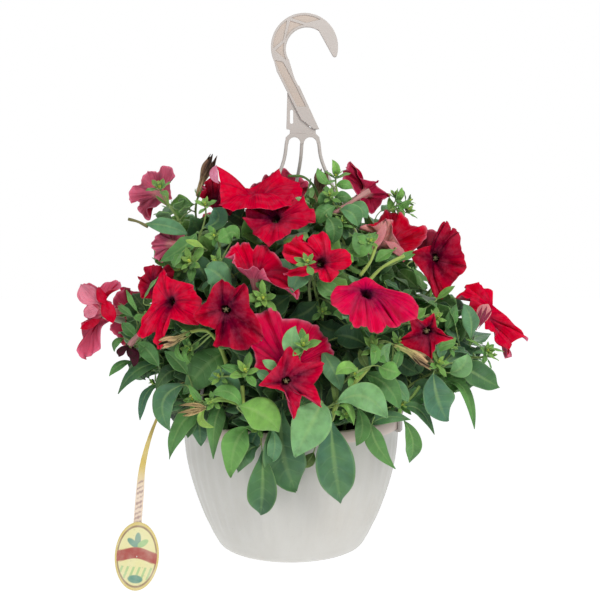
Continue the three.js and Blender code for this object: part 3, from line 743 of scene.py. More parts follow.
HANGER_TONE = colour(188, 181, 176)
HANGER_SHADE = colour(180, 171, 164)
# Painted shade: the web in the hook's pockets is the same plastic, tinted tan for the shade of the recesses
# between the ribs.
POCKET_PAINTED_SHADE = colour(190, 175, 163)


def arc(centre, radius, start, end, steps):
    """Points along a circle between two angles."""
    angles = np.radians(np.linspace(start, end, steps + 1))
    return [(centre[0] + radius * math.cos(a), centre[1] + radius * math.sin(a)) for a in angles]


def slab(skins, outline, depth, edge, middle=0.0, holes=(), inset=0.0, azimuth=0.0, tone=HANGER_TONE):
    """A flat outline in the XZ plane, thickened along y about its middle, with rounded edges.

    It is turned about the pot's axis by its azimuth.
    """
    curve = bpy.data.curves.new("slab", "CURVE")
    curve.dimensions = "2D"
    curve.fill_mode = "BOTH"
    curve.extrude = depth / 2 - edge
    curve.bevel_depth = edge
    curve.bevel_resolution = 2
    curve.offset = -edge - inset
    for ring in (outline, *holes):
        spline = curve.splines.new("POLY")
        spline.points.add(len(ring) - 1)
        for point, (x, z) in zip(spline.points, ring):
            point.co = (x, z, 0.0, 1.0)
        spline.use_cyclic_u = True
    shape = place_object("slab", curve)
    mesh = final_mesh(shape)
    points = np.array([tuple(vertex.co) for vertex in mesh.vertices])
    faces = [list(polygon.vertices) for polygon in mesh.polygons]
    bpy.data.objects.remove(shape)
    bpy.data.curves.remove(curve)
    bpy.data.meshes.remove(mesh)
    angle = math.radians(azimuth)
    across, deep = points[:, 0], middle - points[:, 2]
    x = across * math.cos(angle) - deep * math.sin(angle)
    y = across * math.sin(angle) + deep * math.cos(angle)
    skins.faces.extend([corner + skins.count for corner in face] for face in faces)
    skins.maps.append(np.zeros((sum(len(face) for face in faces), 2)))
    skins.marks.extend([0] * len(faces))
    skins.add_points(np.stack([x, y, points[:, 1]], axis=1), tone)


def on_circle(centre, radius, degrees):
    """The point of a circle at an angle."""
    return arc(centre, radius, degrees, degrees, 1)[0]


def pocket(centre, radius, start, end, apex):
    """The outline of a hollow between two ribs: an arc along a flange, and the corner where they meet."""
    return [*arc(centre, radius, start, end, 14), apex]


def make_hook(skins):
    """The hook: a web between flanges, stiffened by zigzag ribs, with a plain smooth tip."""
    outer = arc(OUTER_CENTRE, OUTER_RADIUS, -8, 205, 74)
    inner = arc(INNER_CENTRE, INNER_RADIUS, 212, 56, 54)
    shaft = [(-16.2, 552), (11.5, 497.5), (26, 486.5), (32.3, 486.5), (4, 544.3)]
    tip = [(47.2, 569.4), (48.4, 568.0), (50, 567.4), (51.6, 568.2), (52.6, 570)]
    outline = [*outer, *shaft, *inner, *tip]
    outer_floor = OUTER_RADIUS - HOOK_FLANGE
    inner_floor = INNER_RADIUS + HOOK_FLANGE
    outer_apex = OUTER_RADIUS - HOOK_FLANGE - 2
    inner_apex = INNER_RADIUS + HOOK_FLANGE + 2
    pockets = [
        pocket(OUTER_CENTRE, outer_floor, 60, 114, on_circle(INNER_CENTRE, inner_apex, 92)),
        pocket(INNER_CENTRE, inner_floor, 98, 154, on_circle(OUTER_CENTRE, outer_apex, 119)),
        pocket(OUTER_CENTRE, outer_floor, 124, 182, on_circle(INNER_CENTRE, inner_apex, 160)),
        pocket(INNER_CENTRE, inner_floor, 166, 208, on_circle(OUTER_CENTRE, outer_apex, 187)),
        [(-17.7, 564), (-13.2, 552), (7.3, 512), (17.2, 512), (1, 544), (-5.4, 556), (-9, 562)],
    ]
    slab(skins, outline, HOOK_DEPTH, holes=pockets, edge=0.5)
    # The web, seen in the pockets, carries a tan painted shade for the recesses.
    slab(skins, outline, HOOK_WEB, edge=0.2, inset=0.6, tone=POCKET_PAINTED_SHADE)


def slot_ring(x, width, bottom, top):
    """The outline of a slot with round ends."""
    half = width / 2
    upper = arc((x, top - half), half, 0, 180, 12)
    return [*upper, *arc((x, bottom + half), half, 180, 360, 12)]


def make_plate(skins):
    """The flat plate with its slot and eyelet under the hook, and the yoke with two arches below it."""
    outline = [(-5.2, 486.5), (-1.2, 485.9), (-1.2, 481.5), (28.4, 481.5), (28.4, 485.9), (32.3, 486.5)]
    outline += [(9.3, 535.9), (-4.0, 530.0)]
    holes = [slot_ring(0.8, 3.7, 492.6, 508.5), arc((22.4, 490), 1.7, 0, 345, 23)]
    slab(skins, outline, PLATE_DEPTH, holes=holes, edge=0.4)
    left, right = -6.8, 33.6
    arches = []
    for (start_a, _), (start_b, _) in ((ARMS[1], ARMS[0]), (ARMS[2], ARMS[1])):
        end, start = start_a - ARM_RADIUS, start_b + ARM_RADIUS
        radius = (end - start) / 2
        bow = arc(((start + end) / 2, YOKE_ARCH - radius), radius, 180, 0, 18)
        arches += [(start, YOKE_FOOT), *bow, (end, YOKE_FOOT)]
    yoke = [(left, YOKE_FOOT), *arches, (right, YOKE_FOOT), (right - 1, YOKE_ARCH)]
    yoke += [(28.4, YOKE_TOP), (-1.2, YOKE_TOP), (left + 1, YOKE_ARCH)]
    slab(skins, yoke, PLATE_DEPTH, edge=0.4)


def spline_path(route, steps):
    """A smooth path through points (centripetal, as the frame's own arms run)."""
    route = np.array(route, float)
    ends = [2 * route[0] - route[1], *route, 2 * route[-1] - route[-2]]
    path = []
    for p0, p1, p2, p3 in zip(ends, ends[1:], ends[2:], ends[3:]):
        spans = [max(np.linalg.norm(b - a) ** 0.5, 1e-4) for a, b in ((p0, p1), (p1, p2), (p2, p3))]
        leave = (p1 - p0) / spans[0] - (p2 - p0) / (spans[0] + spans[1]) + (p2 - p1) / spans[1]
        arrive = (p2 - p1) / spans[1] - (p3 - p1) / (spans[1] + spans[2]) + (p3 - p2) / spans[2]
        leave, arrive = leave * spans[1], arrive * spans[1]
        for t in np.arange(steps) / steps:
            a, b = 2 * t**3 - 3 * t**2 + 1, t**3 - 2 * t**2 + t
            path.append(a * p1 + b * leave + (1 - a) * p2 + (t**3 - t**2) * arrive)
    return np.array([*path, route[-1]])


def make_arm(skins, start, azimuth):
    """A round arm, from the yoke out over the plant and down to the rim."""
    shoulder = np.array((start, 0.0, YOKE_FOOT + 3))
    bow = polar(azimuth, ARM_BOW, ARM_BOW_HEIGHT)
    foot = polar(azimuth, RIM_RADIUS + 2.5, POT_HEIGHT + 1)
    route = [shoulder]
    for share, height, bulge in ((0.04, 450, 0), (0.36, 366, 8), (0.7, 277, 10)):
        point = shoulder + (bow - shoulder) * share
        point[2] = height
        route.append(point + outward_at(bow) * bulge)
    path = spline_path([*route, bow, foot], 12)
    skins.add_tube(path, ARM_RADIUS, HANGER_TONE, 0, sides=14)


def make_clip(skins, azimuth):
    """A clip over the rim: a hook inside, a catch under the rim band and a ribbed thumb grip."""
    outside = RIM_RADIUS + 0.5
    inside = NECK_RADIUS - POT_WALL - 1.2
    catch = NECK_RADIUS + 2 * CLEARANCE
    top = POT_HEIGHT + CLEARANCE
    ledge = POT_HEIGHT - RIM_BAND - CLEARANCE
    foot = top + 3
    outline = [
        (inside - 2.4, top - 9),
        (inside, top - 9),
        (inside, top),
        (outside, top),
        (outside, ledge),
        (catch, ledge),
        (catch, ledge - 3),
        (outside + 3, ledge - 3),
        (outside + 3, foot),
        (outside + 16, foot + 13),
        (outside + 13, foot + 14.5),
        (outside, foot + 2),
        (inside - 2.4, foot),
    ]
    slab(skins, outline, CLIP_WIDTH, edge=0.45, azimuth=azimuth)
    for shift in (-4.5, 0.0, 4.5):
        grip = [(outside + 11, foot + 9.6), (outside + 12.4, foot + 8.2), (outside + 15.4, foot + 11.4)]
        grip += [(outside + 14.2, foot + 12.8)]
        slab(skins, grip, 1.2, middle=shift, edge=0.3, azimuth=azimuth)


def hanger_finish():
    """Moulded plastic: faint streaks from the mould and a little dust."""
    f = Finish("hanger_plastic")
    streaks = f.noise(f.scaled(f.place(), (3.0, 3.0, 30.0)), 2.0, 3.0)
    dust = f.noise(f.place(), 22.0, 1.0, 0.6)
    base = f.stain(f.tone(), streaks, 0.35, 0.7, 0.4, HANGER_SHADE)
    base = f.stain(base, dust, 0.5, 0.8, 0.3, HANGER_SHADE * 0.86)
    return f.finish(base, f.remap(dust, 0.3, 0.8, 0.44, 0.64), Specular_IOR_Level=0.4)


def make_hanger():
    """The one-piece hanger, smooth on its round parts and plain on the yoke's, plate's and hook's faces."""
    skins = Skins()
    make_hook(skins)
    make_plate(skins)
    for start, azimuth in ARMS:
        make_arm(skins, start, azimuth)
        make_clip(skins, azimuth)
    hanger = skins.make("hanger_moulded", (hanger_finish(),), "hanger_plastic", ("hanger",))
    hanger.data.set_sharp_from_angle(angle=math.radians(38))
    yoke_foot = (YOKE_FOOT - SEAT[2]) * MM
    for face in hanger.data.polygons:
        if face.center.z > yoke_foot and abs(face.normal.y) > 0.99:
            face.use_smooth = False


# ---------------------------------------------------------------- plant label

# The strap from the compost to the oval: the place, its width and the way it is turned.
STRAP = [
    ((-84, -64, 142.3), 5, 55),
    ((-92, -70, 176), 5, 55),
    ((-103, -78, 202), 5, 55),
    ((-120, -88, 208), 5, 60),
    ((-136, -96, 190), 5, 60),
    ((-148, -104, 166), 5, 50),
    ((-156, -112, 142), 6, 35),
    ((-161, -118, 118), 7, 15),
    ((-163, -122, 94), 9, 5),
    ((-166, -125, 58), 9, 0),
]
OVAL_CENTRE = np.array((-167.0, -125.0, 24.0))
OVAL_HALF = (24.0, 38.5)
OVAL_TILT = math.radians(5)
OVAL_BELLY = 1.5
OVAL_COLUMNS = 160
LABEL_THICKNESS = 0.9
LABEL_YELLOW = colour(206, 182, 100)
LABEL_PALE = colour(222, 216, 158)
LABEL_RUST = colour(165, 76, 68)
LABEL_TEAL = colour(96, 146, 128)
LABEL_BLUSH = colour(226, 206, 186)
LABEL_MAUVE = colour(158, 128, 126)
LABEL_BROWN = colour(146, 118, 88)
LABEL_LEAF = colour(150, 190, 126)
LABEL_FADED = colour(232, 226, 204)
LABEL_DUST = colour(150, 138, 112)


def make_label():
    """The strap, arched over the rim, and the hanging oval it carries."""
    skins = Skins()
    make_strap(skins)
    make_oval(skins)
    label = skins.make("plant_label_printed", (label_finish(),), "label_plastic", ("plant_label",))
    label.data.set_sharp_from_angle(angle=math.radians(50))


def make_strap(skins):
    """A ribbon with thin edges, yellow below and blush above, where plain strokes are printed."""
    middles = spline_path([place for place, _, _ in STRAP], 22)
    knots = np.linspace(0, len(STRAP) - 1, len(middles))
    numbers = np.arange(len(STRAP))
    widths = np.interp(knots, numbers, [width for _, width, _ in STRAP])
    turns = np.interp(knots, numbers, [turn for _, _, turn in STRAP])
    across = np.array([facing(turn + 90) for turn in turns]) * widths[:, None] / 2
    shares = np.array((-1.0, -0.86, *np.linspace(-0.7, 0.7, 9), 0.86, 1.0))
    strap = middles[:, None] - across[:, None] * shares[None, :, None]
    thin = np.interp(np.abs(shares), (0.8, 0.86, 1.0), (1.0, 0.95, 0.35))
    blush = smooth(-middles[:, 2], -122, -96)[:, None]
    tones = blend(LABEL_YELLOW, LABEL_BLUSH, np.broadcast_to(blush, strap.shape[:2]))
    height = strap[..., 2]
    strokes = np.sin(height * 1.15 + 2.4 * shares[None, :]) + 0.5 * np.sin(height * 0.47 + 1.0)
    print_on = smooth(strokes, 0.15, 0.6) * (blush > 0.6) * (np.abs(shares) < 0.8)[None, :]
    tones = blend(tones, LABEL_MAUVE, 0.85 * print_on)
    skins.add_skin(strap, LABEL_THICKNESS * thin, (tones, tones), (0, 0))


def make_oval(skins):
    """A slightly bellied oval with a round edge, printed on its front."""
    rings = np.concatenate([np.linspace(0.02, 0.94, 60), [0.965, 0.985, 0.995, 1.0]])
    angles = -np.arange(OVAL_COLUMNS) * math.tau / OVAL_COLUMNS
    side = np.cos(angles)[None, :] * rings[:, None]
    rise = np.sin(angles)[None, :] * rings[:, None]
    x = side * OVAL_HALF[0]
    z = rise * OVAL_HALF[1]
    right = x * math.cos(OVAL_TILT) + z * math.sin(OVAL_TILT)
    up = z * math.cos(OVAL_TILT) - x * math.sin(OVAL_TILT)
    oval = OVAL_CENTRE + np.stack([right, OVAL_BELLY * side**2 - OVAL_BELLY, up], axis=2)
    edge = LABEL_THICKNESS * np.sqrt(np.clip(1 - (rings - 0.93).clip(0) ** 2 / 0.07**2, 0.1, 1))
    skins.add_skin(oval, edge[:, None], (label_print(side, rise), LABEL_PALE), (0, 0), wrap=True)


def label_print(side, rise):
    """A plain design: a brown outline, a rust band, a sprig of leaves over it and stripes under it."""
    radius = np.hypot(side, rise)
    inside = 1 - smooth(radius, 0.83, 0.86)
    outline = smooth(radius, 0.84, 0.86) * (1 - smooth(radius, 0.9, 0.925))
    print_tones = blend(LABEL_PALE, LABEL_YELLOW, 0.8 * smooth(radius, 0.9, 0.93))
    stripes = smooth(np.sin(24 * (side - 0.5 * rise)), 0.1, 0.5) * (rise < -0.3) * (rise > -0.66)
    print_tones = blend(print_tones, LABEL_LEAF, 0.8 * stripes * inside)
    for aim, reach, tone in ((90, 0.42, LABEL_TEAL), (38, 0.36, LABEL_LEAF), (142, 0.36, LABEL_TEAL)):
        lean = math.radians(aim)
        along = side * 0.62 * math.cos(lean) + (rise - 0.28) * math.sin(lean)
        aside = (rise - 0.28) * math.cos(lean) - side * 0.62 * math.sin(lean)
        leaf = np.hypot((along - reach / 2) / (reach / 2), aside / 0.085)
        print_tones = blend(print_tones, tone, (1 - smooth(leaf, 0.92, 1.08)) * inside)
    middle = 0.04 + 0.07 * np.cos(3.2 * side)
    band = 1 - smooth(np.abs(rise - middle), 0.15, 0.18)
    print_tones = blend(print_tones, LABEL_RUST, band * (1 - smooth(radius, 0.9, 0.93)))
    mound = 1 - smooth(np.hypot(side / 0.34, (rise + 0.66) / 0.12), 0.9, 1.1)
    print_tones = blend(print_tones, LABEL_TEAL, mound * inside)
    return blend(print_tones, LABEL_BROWN, outline * (1 - band))


def label_finish():
    """Printed plastic card, a little sun-bleached and dusty."""
    f = Finish("label_plastic")
    fade = f.noise(f.place(), 45.0, 4.0)
    dust = f.noise(f.place(), 420.0, 2.0)
    base = f.stain(f.tone(), fade, 0.4, 0.7, 0.3, LABEL_FADED)
    base = f.stain(base, dust, 0.6, 0.75, 0.25, LABEL_DUST)
    return f.finish(base, f.remap(fade, 0.3, 0.7, 0.3, 0.5), f.bump(dust, 0.0001, 0.4))


# ---------------------------------------------------------------- flowers

AROUND = 120
TUBE_ROWS = 12
LIMB_ROWS = 20
TUBE_FOOT_RADIUS = 1.7
MOUTH_RADIUS = 5.2
LIMB_CURL = 0.35
PETAL_THICKNESS = 0.5
SHOWN_ANTHERS = 2.5
SUNK_ANTHERS = 13.0

# How far the tips and notches of a plain limb reach, and how far forward, as ranges of shares.
TIP_SPREAD, TIP_CUPPED = (0.94, 1.06), (0.7, 1.1)
NOTCH_SPREAD, NOTCH_CUPPED = (0.76, 0.84), (0.9, 1.3)

THROAT_TONE = colour(150, 142, 96)
# A painted highlight for the velvet's sheen along the limbs' edges.
RIM_HIGHLIGHT_TONE = colour(228, 130, 156)
ANTHER_TONE = colour(104, 88, 66)

# The middle of each throat, where it faces (degrees turned and lifted), the limb's radius and its
# colours. A rim is the limb's edge, from the middle of the throat: tips and notches in turn. Where
# there is none the limb is a plain one, whose edge reaches forward by the cup's share of the radius.
# Lights are painted light and shade that make single lobes brighter or, below zero, darker. Dark is how far
# out the shade reaches, hole how black the throat is, star how dark the ribs are, and the pale edge how
# strong the painted highlight along the limb's edge is.
# Roundness is how full the lobes are, rise how far the limb swells forward, folds and ruffle how
# uneven it is. Anthers show in the mouth, or else they sit deep in the tube.
FLOWERS = {
    "flower_left_pink": {
        "at": (-156, 30, 413), "turn": -150, "lift": 25, "radius": 30, "palette": "mauve",
        "pale_edge": 0.7, "hole": 0.4, "roundness": 1.8,
        "rim": [
            (16, 0, 30), (0, -8, 25), (-12, -2, 26), (-21, -8, 11), (-34, -6, -7),
            (-22, -10, -12), (-15, -4, -31), (-8, -8, -20), (16, 0, -7), (17, -4, 13),
        ],
    },
    "flower_left_small": {
        "at": (-135, -46, 359), "turn": -125, "lift": 10, "radius": 22, "palette": "mauve",
        "pale_edge": 0.5, "roundness": 1.6,
        "rim": [
            (-13, -4, 11), (-18, -6, 4), (-20, -8, -2), (-16, -10, -9), (-12, -8, -20),
            (1, -8, -12), (18, -4, -8), (19, 0, 3), (9, 0, 17), (-4, -2, 15),
        ],
    },
    "flower_left_side": {
        "at": (-216, -30, 280), "turn": -90, "lift": 0, "radius": 40, "palette": "scarlet",
        "pale_edge": 0.5, "roundness": 1.9,
        "rim": [
            (-18, -16, 34), (-15, -22, 13), (-12, -24, -6), (-21, -16, -14), (-18, -8, -53),
            (3, -14, -20), (20, -20, 6), (9, -10, 16), (24, -2, 35), (-2, -6, 28),
        ],
    },
    "flower_left_rear": {
        "at": (-153, -72, 315), "turn": -55, "lift": 22, "radius": 26, "palette": "dark", "star": 0.5,
        "dark": 0.9,
        "rim": [
            (3, 8, 21), (-5, 2, 19), (-15, -2, 9), (-12, -6, 2), (-10, -8, -14),
            (1, -8, -14), (16, -6, -12), (21, 0, 1), (23, 8, 18), (13, 8, 17),
        ],
    },
    "flower_left_front": {
        "at": (-127, -132, 303), "turn": -24, "lift": 10, "radius": 41, "palette": "scarlet",
        "lights": (0, 0.3, 0.2, 0.1, 0.3), "star": 0.45, "dark": 0.62, "roundness": 1.6,
        "rim": [
            (-7, 2, 34), (0, -4, 24), (26, -10, 18), (34, -14, 3), (32, -16, -22),
            (1, -12, -16), (-10, -4, -51), (-18, -2, -33), (-34, 4, -38), (-20, 2, -3),
        ],
    },
    "flower_front_left": {
        "at": (-66, -172, 300), "turn": -4, "lift": 8, "radius": 37, "palette": "dark",
        "lights": (-0.3, -0.2, 0.1, -0.3, 0.5), "star": 0.9, "dark": 1.15, "hole": 0.35,
        "anthers": True, "roundness": 1.6,
        "rim": [
            (-4, -6, 32), (10, -6, 22), (21, -5, 27), (25, -8, 3), (39, -12, -28),
            (21, -10, -42), (-7, -6, -38), (-10, -6, -20), (-33, 0, -9), (-20, -2, 8),
        ],
    },
    "flower_crown_left": {
        "at": (-87, -40, 408), "turn": -40, "lift": 45, "radius": 26, "palette": "dark", "star": 0.6,
        "dark": 1.1, "hole": 0.6,
        "rim": [
            (-11, -6, 15), (-12, -8, 7), (-7, -14, -7), (4, -14, -13), (21, -12, -16),
            (22, 0, 1), (16, 8, 17), (9, 6, 19), (-1, 6, 24), (-7, 0, 19),
        ],
    },
    "flower_crown_top": {
        "at": (-37, -58, 409), "turn": 0, "lift": 88, "radius": 45, "palette": "scarlet",
        "lights": (0.2, 0.1, 0.1, 0, 0), "star": 0.05, "rise": 0.36, "hole": 0, "folds": 0.14,
        "ruffle": 0.4, "pale_edge": 0, "roundness": 2.6,
        "rim": [
            (-44, -4, 37), (-40, -28, -4), (-24, -54, -11), (-5, -66, -7), (19, -68, -9),
            (39, -46, -4), (49, -16, 5), (41, 8, 20), (24, 14, 33), (-9, 14, 11),
        ],
    },
    "flower_crown_front": {
        "at": (-15, -112, 391), "turn": 2, "lift": 28, "radius": 38, "palette": "crimson",
        "lights": (0.4, 0.5, 0.1, -0.5, -0.85), "star": 0.35, "dark": 0.7, "roundness": 2.2,
        "rim": [
            (-8, -22, -28), (16, -16, -10), (42, -12, 0), (37, 6, 11), (23, 32, 18),
            (4, 40, 13), (-16, 38, 17), (-28, 20, 10), (-34, 4, -1), (-26, -8, -10),
        ],
    },
    "flower_centre": {
        "at": (-37, -140, 331), "turn": -12, "lift": 62, "radius": 33, "palette": "scarlet",
        "lights": (0.1, 0, 0, -0.1, 0), "rise": 0.3, "hole": 0, "pale_edge": 0.8, "roundness": 2.4,
        "rim": [
            (-17, 18, 34), (-2, 14, 27), (13, 18, 30), (29, 4, 12), (45, -6, -24),
            (21, -14, -7), (8, -18, 10), (-6, -18, 12), (-24, -8, 14), (-28, 4, 25),
        ],
    },
    "flower_centre_ruffled": {
        "at": (33, -160, 347), "turn": 14, "lift": 14, "radius": 37, "palette": "scarlet",
        "lights": (0, 0, 0, 0, 0.1, 0.1), "star": 0.3, "dark": 0.55, "roundness": 3,
        "rim": [
            (-3, 4, 31), (9, -2, 13), (31, -4, 4), (16, -8, -5), (8, -8, -20),
            (-3, -10, -7), (-40, -4, -10), (-20, -6, -3), (-41, -2, 13), (-36, 0, 22),
            (-26, 2, 28), (-14, -2, 18),
        ],
    },
    "flower_front_right": {
        "at": (78, -186, 318), "turn": 12, "lift": 38, "radius": 44, "palette": "rose",
        "lights": (-0.1, 0, -0.2, 0.2, 0.2, 0.1), "star": 0.15, "dark": 0.85, "folds": 0.6,
        "ruffle": 1.3, "pale_edge": 0.15, "roundness": 2.3,
        "rim": [
            (0, 12, 16), (21, 6, 4), (54, -6, -18), (31, -16, -26), (29, -18, -33),
            (19, -20, -29), (11, -22, -38), (-1, -18, -31), (-12, -16, -33), (-18, -12, -20),
            (-37, -4, -9), (-20, 6, 9),
        ],
    },
    "flower_right_star": {
        "at": (144, -150, 274), "turn": 25, "lift": -5, "radius": 30, "palette": "dark", "star": 1.0,
        "dark": 1.05, "anthers": True, "roundness": 1.15,
        "rim": [
            (6, -2, 20), (9, -4, 4), (27, -2, -7), (7, -6, -13), (3, -6, -31),
            (-15, -5, -25), (-30, -2, -9), (-17, -3, 1), (-19, 0, 17), (-6, -2, 11),
        ],
    },
    "flower_front_star": {
        "at": (-4, -192, 228), "turn": 0, "lift": -8, "radius": 37, "palette": "crimson",
        "lights": (-0.2, 0, 0.1, 0.1, 0.1), "star": 1.0, "dark": 1.0, "hole": 0.45, "anthers": True,
        "roundness": 1.25,
        "rim": [
            (4, 2, 37), (16, -2, 20), (39, 0, 19), (29, -6, -2), (36, -4, -26),
            (16, -8, -12), (8, -6, -38), (0, -8, -8), (-27, -2, -3), (-10, -2, 16),
        ],
    },
    "flower_front_low": {
        "at": (-3, -150, 240), "turn": 16, "lift": -4, "radius": 37, "palette": "rose",
        "lights": (0.2, 0.3, 0.1, -0.2, 0), "star": 0.1, "hole": 0.3, "pale_edge": 0.9,
        "roundness": 2.4,
        "rim": [
            (-26, 4, 56), (-4, 2, 48), (26, 6, 42), (41, 4, 30), (48, -2, 13),
            (20, -8, -3), (5, -10, -19), (-16, -10, -11), (-34, -8, -1), (-45, -2, 24),
        ],
    },
    "flower_right_dark": {
        "at": (158, -72, 345), "turn": -34, "lift": 5, "radius": 39, "palette": "dark",
        "lights": (0, -0.2, -0.1, 0.1, 0), "star": 0.6, "dark": 1.1, "hole": 0.6, "anthers": True,
        "roundness": 1.5,
        "rim": [
            (13, 4, 40), (19, -2, 28), (25, -6, 31), (28, -14, 10), (34, -18, -9),
            (16, -14, -30), (7, -10, -45), (-11, -4, -18), (-26, 6, 3), (2, 2, 15),
        ],
    },
    "flower_right_side": {
        "at": (225, -40, 276), "turn": 92, "lift": -10, "radius": 40, "palette": "scarlet", "hole": 0.4,
        "roundness": 1.8,
        "rim": [
            (-38, -18, 27), (-26, -4, 37), (-5, 10, 33), (7, 12, 13), (44, 2, -29),
            (24, -8, -27), (21, -10, -46), (6, -14, -21), (-7, -20, -11), (-23, -22, 15),
        ],
    },
    "flower_right_pale": {
        "at": (106, -24, 358), "turn": 62, "lift": 20, "radius": 30, "palette": "pale",
        "pale_edge": 0.6, "hole": 0.6, "roundness": 1.8,
        "rim": [
            (4, -10, 29), (12, -18, 9), (24, -14, -17), (33, -4, -8), (51, 8, 11),
            (29, 16, 26), (9, 20, 34), (-7, 18, 24), (-27, 10, 18), (-11, 0, 19),
        ],
    },
    "flower_crown_right": {
        "at": (89, 18, 414), "turn": 112, "lift": 30, "radius": 29, "palette": "plum", "pale_edge": 0.3,
        "dark": 1.0, "roundness": 1.6,
        "rim": [
            (-19, -4, 36), (-9, -6, 17), (14, 4, 14), (9, 4, 7), (28, 0, -2),
            (17, -6, -10), (4, -10, -25), (-7, -12, -13), (-29, -8, 18), (-26, -8, 28),
        ],
    },
    "flower_back_left": {
        "at": (-105, 128, 345), "turn": 215, "lift": 15, "radius": 38, "cup": 0.25,
        "palette": "crimson", "dark": 0.8,
    },
    "flower_back_middle": {
        "at": (42, 168, 322), "turn": 170, "lift": 10, "radius": 41, "cup": 0.2, "palette": "scarlet",
        "star": 0.5, "anthers": True,
    },
    "flower_back_right": {
        "at": (165, 98, 330), "turn": 122, "lift": 20, "radius": 38, "cup": 0.3, "palette": "dark",
        "dark": 1.0, "star": 0.8,
    },
    "flower_back_top": {
        "at": (-14, 92, 402), "turn": 182, "lift": 42, "radius": 40, "cup": 0.3, "palette": "crimson",
    },
    "flower_back_low_left": {
        "at": (-62, 182, 238), "turn": 198, "lift": 0, "radius": 36, "cup": 0.25, "palette": "rose",
    },
    "flower_back_low_right": {
        "at": (118, 160, 236), "turn": 145, "lift": 0, "radius": 38, "cup": 0.25, "palette": "scarlet",
        "star": 0.6,
    },
    "flower_left_back": {
        "at": (-192, 78, 262), "turn": 245, "lift": 0, "radius": 37, "cup": 0.3, "palette": "crimson",
    },
}

# Dried flowers: where they start and end, how wide they are and whether they are pale as straw.
SPENT_FLOWERS = {
    "spent_flower_crown_left": {"base": (-106, -8, 410), "tip": (-90, -14, 452), "radius": 5.5},
    "spent_flower_crown_right": {"base": (24, -8, 398), "tip": (34, -12, 436), "radius": 6.5},
    "spent_flower_left": {"base": (-105, -146, 272), "tip": (-132, -158, 263), "radius": 5.0, "straw": True},
    "spent_flower_right": {"base": (108, -160, 261), "tip": (143, -166, 242), "radius": 5.0, "straw": True},
}


